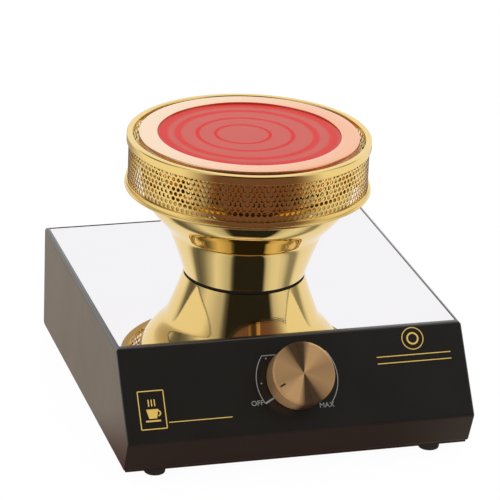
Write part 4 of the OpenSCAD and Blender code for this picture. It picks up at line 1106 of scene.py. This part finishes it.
def makeHousing(s):
    half = s["width"] / 2 * mm
    back, low = shellHigh.y, shellLow.z
    top = low + s["height"] * mm
    front = back - s["depth"] * mm
    knee = (front - s["kneeOut"] * mm, low + s["kneeUp"] * mm)
    toe = knee[0] + s["toeIn"] * mm
    bend = s["bend"] * mm
    corners = [(back, low, bend), (back, top, bend), (front, top, bend), (*knee, bend), (toe, low, bend)]
    edge = s["sideEdge"] * mm
    steps = 4
    loops = []
    for i in range(steps + 1):
        turn = math.pi / 2 * i / steps
        inset = edge * (1 - math.sin(turn))
        loop = roundedOutline(insetCorners(corners, inset) if inset > 1e-9 else corners)
        loops.append((-half + edge * (1 - math.cos(turn)), loop))
    loops += [(-x, loop) for x, loop in reversed(loops)]
    body = prism("housing", loops)

    sheet = s["sheet"] * mm
    inner = insetCorners(corners, sheet)
    ledgeLow = top - s["ledge"] * mm
    slope = (inner[3][0] - inner[2][0]) / (inner[3][1] - inner[2][1])
    meet = inner[2][0] + slope * (ledgeLow - inner[2][1])
    hollowLoop = roundedOutline([
        inner[0], (back - sheet, ledgeLow, 0), (meet, ledgeLow, 0), inner[3], inner[4],
    ])
    flange, rim = s["flange"] * mm, s["rim"] * mm
    # cutters start and end past the sheet, so that no two faces lie on each other
    past, through = s["past"] * mm, s["through"] * mm
    over, under = top + past, low - past
    inletLow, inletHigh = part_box("inlet_body")
    ventMiddle = (inletLow.z + inletHigh.z) / 2
    cutters = [
        prism("hollow", [(-half + sheet, hollowLoop), (half - sheet, hollowLoop)]),
        boxCutter(
            "pocket", (-half + rim, front + rim, top - s["pocket"] * mm), (half - rim, back - rim, over)
        ),
        boxCutter(
            "topWindow", (-half + flange, front + flange, ledgeLow - 0.001),
            (half - flange, back - flange, over),
        ),
        boxCutter(
            "lowWindow", (-half + flange, toe + flange, under), (half - flange, back - flange, low + 0.003)
        ),
        roundCutter("knobHole", s["knobHole"] * mm, -through, through, panelPlace),
    ]
    for side in (-1, 1):
        near, far = front - 0.1, back + 0.1
        cutters.append(edgeCutter(f"edge{side}", half, top, s["topEdge"] * mm, near, far, side, past))
    inletX = (inletLow.x + inletHigh.x) / 2
    halfWidth, halfHeight = (size * mm for size in s["inletHalf"])
    cutters.append(boxCutter(
        "inletHole", (inletX - halfWidth, back - through, ventMiddle - halfHeight),
        (inletX + halfWidth, back + past, ventMiddle + halfHeight),
    ))
    for i in range(s["ventCount"]):
        start = (s["ventFirst"] + i * s["ventPitch"]) * mm
        cutters.append(boxCutter(
            f"vent{i}", (start, back - through, ventMiddle - s["ventHeight"] / 2 * mm),
            (start + s["ventWidth"] * mm, back + past, ventMiddle + s["ventHeight"] / 2 * mm),
        ))
    mesh = cutAway(body, cutters)
    faceOutwards(mesh, 1e-7)
    mesh.materials.clear()
    mesh.materials.append(finishes["black_coating"])
    return smoothPiece(mesh, "housing", 30.0)


housing = makeHousing(housingSizes)
settle(housing, "base", "black_coating", "base_shell")
print("housing made:", len(housing.data.polygons), "faces")

# Rubber feet: one turned foot set on four points
footSizes = {"top": 6.4, "bottom": 5.9, "height": 5.4, "recess": 3.2, "recessDepth": 3.2, "bore": 1.6}


def makeFeetTree():
    tree, source, target = newTree(
        "feetOnCorners",
        [
            ("Outline", "Geometry"), ("Axis Radius", "Float"), ("Sides", "Int"), ("Spread X", "Float"),
            ("Spread Y", "Float"), ("Finish", "Material"),
        ],
    )
    foot = sweepOutline(tree, source)
    spots = addNode(
        tree, "GeometryNodeMeshGrid",
        {"Size X": source["Spread X"], "Size Y": source["Spread Y"], "Vertices X": 2, "Vertices Y": 2},
    )
    feet = addNode(
        tree, "GeometryNodeInstanceOnPoints", {"Points": spots.outputs["Mesh"], "Instance": foot}
    )
    endTree(tree, source, target, feet.outputs[0])
    return tree


def makeFeet(s):
    low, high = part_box("rubber_feet")
    corners = [
        (s["bottom"], 0.0, 0.8), (s["top"], s["height"], 0.3), (s["bore"], s["height"], 0.1),
        (s["bore"], s["recessDepth"], 0.1), (s["recess"], s["recessDepth"], 0.1), (s["recess"], 0.0, 0.3),
    ]
    points = [(radius * mm, height * mm) for radius, height in roundedOutline(corners, 4)]
    top = s["top"] * mm
    source = outlineCurve(points, top, True)
    values = {
        "Axis Radius": top, "Sides": 48, "Finish": finishes["black_rubber"],
        "Spread X": high.x - low.x - 2 * top, "Spread Y": high.y - low.y - 2 * top,
    }
    mesh = runTree(source, makeFeetTree(), values, "rubberFeet")
    faceOutwards(mesh)
    middle = (low + high) / 2
    mesh.transform(Matrix.Translation((middle.x, middle.y, low.z)))
    return smoothPiece(mesh, "rubberFeet")


feet = makeFeet(footSizes)
settle(feet, "base", "black_rubber", "rubber_feet")

# Knob
# Sizes in millimetres in the panel's own frame: radius from the axis, height from the panel
knobSizes = {
    "radius": 17.8,
    "face": 15.5,
    "gap": 0.7,
    "bevel": 0.9,
    "wall": 2.0,
    "dish": 0.5,
    "rimFlat": 0.5,
    "ceiling": 0.6,
    "boss": 5.6,
    "bossLow": 6.1,
    "bore": 3.03,
    "boreTop": 13.1,
    "markInner": 12.6,
    "markOuter": 16.0,
    "markWidth": 1.0,
    "markAngle": 204.0,
    "markLow": -0.15,
    "markHigh": 0.03,
}


def knobOutline(s):
    radius, face, gap = s["radius"], s["face"], s["gap"]
    inside = radius - s["wall"]
    ceiling = face - s["wall"] - s["ceiling"]
    corners = [
        (0.0, s["boreTop"], 0), (s["bore"], s["boreTop"], 0), (s["bore"], s["bossLow"], 0.1),
        (s["boss"], s["bossLow"], 0.2), (s["boss"], ceiling, 0.3), (inside, ceiling, 0.5), (inside, gap, 0.2),
        (radius, gap, 0.4), (radius, face - s["bevel"], 0.12), (radius - s["bevel"], face, 0.12),
        (radius - s["bevel"] - s["rimFlat"], face, 0.1), (0.0, face - s["dish"], 0),
    ]
    return roundedOutline(corners, 3)


knobPiece = turnedPiece(
    "controlKnob", knobOutline(knobSizes), finishes["knob_bronze"], panelPlace,
    sides=144, closed=False, sharp=25.0, turnedMap=True,
)
settle(knobPiece, "knob", "knob_bronze", "knob")


def thinPlate(name, loops, low, high, place, finish):
    # closed thin plates from flat outlines in millimetres, between two heights above the surface
    shape = bmesh.new()
    for loop in loops:
        bottom = [shape.verts.new((x * mm, y * mm, low * mm)) for x, y in loop]
        above = [shape.verts.new((x * mm, y * mm, high * mm)) for x, y in loop]
        count = len(loop)
        for i in range(count):
            after = (i + 1) % count
            shape.faces.new((bottom[i], bottom[after], above[after], above[i]))
        shape.faces.new(bottom)
        shape.faces.new(above)
    bmesh.ops.recalc_face_normals(shape, faces=shape.faces)
    mesh = bpy.data.meshes.new(name)
    shape.to_mesh(mesh)
    shape.free()
    mesh.transform(place)
    mesh.materials.append(finish)
    return linkMesh(name, mesh)


def makeKnobMark(s):
    start, end, half = s["markInner"], s["markOuter"], s["markWidth"] / 2
    slope = math.atan2(s["dish"], s["radius"] - s["bevel"] - s["rimFlat"])
    tilt = Matrix.Rotation(math.radians(s["markAngle"]), 4, "Z") @ Matrix.Rotation(-slope, 4, "Y")
    lift = Matrix.Translation((0, 0, (s["face"] - s["dish"]) * mm))
    loop = [(start, -half), (end, -half), (end, half), (start, half)]
    place = panelPlace @ lift @ tilt
    return thinPlate("knobMark", [loop], s["markLow"], s["markHigh"], place, inks["darkInk"])


knobMark = makeKnobMark(knobSizes)
settle(knobMark, "knob", None)
print("knob made")

# Printing on the panel
# Places in millimetres in the panel's own frame, from the knob's axis
dialSizes = {
    "arc": 23.4,
    "arcWidth": 0.45,
    "start": 212.0,
    "end": -40.0,
    "flat": 14.4,
    "wedgeInner": 16.2,
    "wedgeWidth": 2.2,
    "wedgeTurn": 2.0,
    "dots": 20.7,
    "dotRadius": 0.45,
    "dotSides": 16,
    "dotAngles": (182.8, 142.0, 38.0, -3.0),
    "wordSize": 2.9,
    "wordScale": 1.4,
    "offPlace": (-28.0, -13.2),
    "maxPlace": (10.6, -17.4),
    "low": -0.05,
    "high": 0.03,
}


def onCircle(radius, angle):
    return (radius * math.cos(math.radians(angle)), radius * math.sin(math.radians(angle)))


def arcStrips(radius, width, start, end, step=3.0):
    # an arc as short quads, so that every plate is convex
    count = max(1, math.ceil(abs(end - start) / step))
    angles = [start + (end - start) * i / count for i in range(count + 1)]
    strips = []
    for a, b in zip(angles, angles[1:]):
        strips.append([
            onCircle(radius - width / 2, a), onCircle(radius + width / 2, a),
            onCircle(radius + width / 2, b), onCircle(radius - width / 2, b),
        ])
    return strips


def lineStrip(start, end, width):
    a, b = Vector(start), Vector(end)
    side = (b - a).orthogonal().normalized() * width / 2
    return [tuple(a - side), tuple(b - side), tuple(b + side), tuple(a + side)]


def makeDialPrint(s):
    radius, width = s["arc"], s["arcWidth"]
    corner = math.degrees(math.asin(s["flat"] / radius))
    loops = arcStrips(radius, width, s["start"], 180 - corner)
    loops += arcStrips(radius, width, corner, s["end"])
    loops.append(lineStrip(onCircle(radius, 180 - corner), onCircle(radius, corner), width))
    wedgeEnd = onCircle(s["wedgeInner"], s["start"] + s["wedgeTurn"])
    loops.append(lineStrip(onCircle(radius, s["start"]), wedgeEnd, width * s["wedgeWidth"]))
    for angle in s["dotAngles"]:
        x, y = onCircle(s["dots"], angle)
        turns = [math.tau * k / s["dotSides"] for k in range(s["dotSides"])]
        loops.append([
            (x + s["dotRadius"] * math.cos(turn), y + s["dotRadius"] * math.sin(turn)) for turn in turns
        ])
    return thinPlate("dialPrint", loops, s["low"], s["high"], panelPlace, inks["paleInk"])


def makeWord(name, word, place, s):
    data = bpy.data.curves.new(name, "FONT")
    data.body = word
    data.size = s["wordSize"] * mm * s["wordScale"]
    data.extrude = (s["high"] - s["low"]) / 2 * mm
    data.resolution_u = 3
    mesh = plainMesh(linkMesh(name, data), name)
    faceOutwards(mesh, 1e-7)
    rise = (s["high"] + s["low"]) / 2
    mesh.transform(panelPlace @ Matrix.Translation((place[0] * mm, place[1] * mm, rise * mm)))
    mesh.materials.clear()
    mesh.materials.append(inks["paleInk"])
    return linkMesh(name, mesh)


settle(makeDialPrint(dialSizes), "base", None)
settle(makeWord("dialOff", "OFF", dialSizes["offPlace"], dialSizes), "base", None)
settle(makeWord("dialMax", "MAX", dialSizes["maxPlace"], dialSizes), "base", None)

# Plain gold ornaments: a framed cup at the left, a ring and two rules at the right
ornamentSizes = {
    "frameLow": (-91.2, -21.2),
    "frameHigh": (-76.8, 0.0),
    "line": 0.55,
    "ringPlace": (70.0, 17.4),
    "ringRadius": 6.2,
    "ruleX": (47.6, 91.2),
    "ruleY": (8.2, 4.4),
    "captionX": (-75.5, -39.5),
    "captionY": -18.2,
    "captionLine": 0.45,
    "ringLine": 0.5,
    "innerShare": 0.5,
    "innerLine": 0.9,
    "ruleLine": 0.5,
    "saucer": (4.2, 0.9),
    "cupLow": (2.2, 1.8),
    "cupHigh": (3.4, 7.0),
    "cupFoot": 4.0,
    "handle": (1.5, 0.7),
    "handlePlace": (2.9, 4.6),
    "steamAt": (-1.7, 0.0, 1.7),
    "steamRise": (8.6, 12.4),
    "steamLine": 0.6,
    "low": -0.05,
    "high": 0.03,
}


def ornamentPlate(name, loops, s):
    return thinPlate(name, loops, s["low"], s["high"], panelPlace, inks["goldInk"])


def makeFramedCup(s):
    (left, low), (right, high) = s["frameLow"], s["frameHigh"]
    line = s["line"]
    loops = [
        lineStrip((left, low), (right, low), line), lineStrip((left, high), (right, high), line),
        lineStrip((left, low), (left, high), line), lineStrip((right, low), (right, high), line),
    ]
    middle = (left + right) / 2
    base = low + s["cupFoot"]
    half, thick = s["saucer"]
    loops.append([
        (middle - half, base), (middle + half, base),
        (middle + half, base + thick), (middle - half, base + thick),
    ])
    (footHalf, footRise), (brimHalf, brimRise) = s["cupLow"], s["cupHigh"]
    loops.append([
        (middle - footHalf, base + footRise), (middle + footHalf, base + footRise),
        (middle + brimHalf, base + brimRise), (middle - brimHalf, base + brimRise),
    ])
    handleX, handleY = s["handlePlace"]
    for strip in arcStrips(*s["handle"], -80, 80, 20.0):
        loops.append([(x + middle + handleX, y + base + handleY) for x, y in strip])
    start, end = s["steamRise"]
    for offset in s["steamAt"]:
        x = middle + offset
        loops.append(lineStrip((x, base + start), (x, base + end), s["steamLine"]))
    return ornamentPlate("framedCup", loops, s)


def makeRightOrnament(s):
    x, y = s["ringPlace"]
    strips = arcStrips(s["ringRadius"], s["ringLine"], 0, 360, 7.5)
    strips += arcStrips(s["ringRadius"] * s["innerShare"], s["innerLine"], 0, 360, 12.0)
    loops = [[(px + x, py + y) for px, py in strip] for strip in strips]
    left, right = s["ruleX"]
    for height in s["ruleY"]:
        loops.append(lineStrip((left, height), (right, height), s["ruleLine"]))
    return ornamentPlate("rightOrnament", loops, s)


def makeCaptionRule(s):
    left, right = s["captionX"]
    rule = lineStrip((left, s["captionY"]), (right, s["captionY"]), s["captionLine"])
    return ornamentPlate("captionRule", [rule], s)


for ornament in (makeFramedCup, makeRightOrnament, makeCaptionRule):
    settle(ornament(ornamentSizes), "base", None)
print("panel printed")

# Stage
stageSizes = {
    "floor": 12.0,
    "floorTone": (0.04, 0.04, 0.04),
    "floorGlow": 0.965,
    # floor colour seen in reflections within the housing's width: a painted shadow
    "nearFloorPaintedShadow": (0.42, 0.345, 0.275),
    "farMirrored": (0.93, 0.90, 0.84),
    "nearReach": (0.17, 0.42),
    "worldStrength": 1.04,
    "worldTone": (1.0, 1.0, 1.0),
    "ring": (
        (-180, 0.93), (180, 0.93), (-127, 0.93), (-120, 0.70), (-113, 0.20), (-104, 0.13), (-93, 0.24),
        (-79, 0.55), (-66, 0.85), (-55, 0.75), (-44, 0.60), (-36, 0.50), (-29, 0.12), (-23, 0.02), (47, 0.02),
        (55, 0.60), (66, 0.80), (79, 0.85), (92, 0.68), (103, 0.30), (112, 0.30), (121, 0.85), (128, 0.93),
    ),
    "ceilingFrom": (70.0, 82.0),
    "ceilingTone": (0.95, 0.84, 0.74),
    "frontMirrored": (0.12, 0.034, 0.018),
    "frontFrom": (-80.0, -42.0),
    "frontTo": (20.0, 56.0),
}


def makeFloor(s):
    half = s["floor"] / 2
    mesh = bpy.data.meshes.new("floor")
    corners = [(-half, -half, 0), (half, -half, 0), (half, half, 0), (-half, half, 0)]
    mesh.from_pydata(corners, [], [(0, 1, 2, 3)])
    values = {"Roughness": 0.9, "Specular IOR Level": 0.1, "Emission Strength": s["floorGlow"]}
    material, tree, shader, coords = newFinish("floorWhite", values)
    tone = s["floorTone"]
    paper = mixColours(tree, noiseValue(tree, coords, 3.0, 2.0), tone, [c * 0.99 for c in tone])
    tree.links.new(paper, shader.inputs["Base Color"])
    glossy = addNode(tree, "ShaderNodeLightPath").outputs["Is Glossy Ray"]
    # seen only in reflections: the floor within the housing's width is a dim brown, a painted shadow, paler
    # farther aside
    parts = addNode(tree, "ShaderNodeSeparateXYZ", {0: coords}).outputs
    aside = mathNode(tree, "ABSOLUTE", parts["X"])
    farther = smoothBand(tree, aside, *s["nearReach"])
    mirrored = mixColours(tree, farther, s["nearFloorPaintedShadow"], s["farMirrored"])
    # dark brown ahead of the lamp head, seen only in reflections
    ahead = mathNode(tree, "SUBTRACT", lampY, parts["Y"])
    azimuth = mathNode(tree, "DEGREES", mathNode(tree, "ARCTAN2", parts["X"], ahead))
    starts = smoothBand(tree, azimuth, *s["frontFrom"])
    shown = mathNode(tree, "SUBTRACT", starts, smoothBand(tree, azimuth, *s["frontTo"]))
    mirrored = mixColours(tree, shown, mirrored, s["frontMirrored"])
    tree.links.new(mixColours(tree, glossy, (1.0, 1.0, 1.0), mirrored), shader.inputs["Emission Color"])
    mesh.materials.append(material)
    floor = linkMesh("floor", mesh)
    return floor


def makeStudioWorld(s):
    world = bpy.data.worlds.new("studioWorld")
    scene.world = world
    world.use_nodes = True
    tree = world.node_tree
    tree.nodes.clear()
    direction = addNode(tree, "ShaderNodeTexCoord").outputs["Generated"]
    facing = (0.0, 0.0, math.radians(-cameraSetup["yaw"]))
    turned = addNode(tree, "ShaderNodeMapping", {"Vector": direction, "Rotation": facing})
    parts = addNode(tree, "ShaderNodeSeparateXYZ", {0: turned.outputs["Vector"]}).outputs
    ahead = mathNode(tree, "MULTIPLY", parts["Y"], -1.0)
    azimuth = mathNode(tree, "DEGREES", mathNode(tree, "ARCTAN2", parts["X"], ahead))
    elevation = mathNode(tree, "DEGREES", mathNode(tree, "ARCSINE", parts["Z"]))
    ring = addNode(tree, "ShaderNodeMapRange", {"Value": azimuth, "From Min": -180.0, "From Max": 180.0})
    ramp = addNode(tree, "ShaderNodeValToRGB", {"Fac": ring.outputs["Result"]})
    fillRamp(ramp, [((angle + 180.0) / 360.0, level) for angle, level in s["ring"]])
    low, high = s["ceilingFrom"]
    ceiling = smoothBand(tree, elevation, low, high)
    studio = mixColours(tree, ceiling, ramp.outputs["Color"], s["ceilingTone"])
    glossy = addNode(tree, "ShaderNodeLightPath").outputs["Is Glossy Ray"]
    colour = mixColours(tree, glossy, s["worldTone"], studio)
    background = addNode(tree, "ShaderNodeBackground", {"Color": colour, "Strength": s["worldStrength"]})
    addNode(tree, "ShaderNodeOutputWorld", {"Surface": background.outputs[0]})


scene.view_settings.view_transform = "Standard"
makeFloor(stageSizes)
makeStudioWorld(stageSizes)
print("stage set")
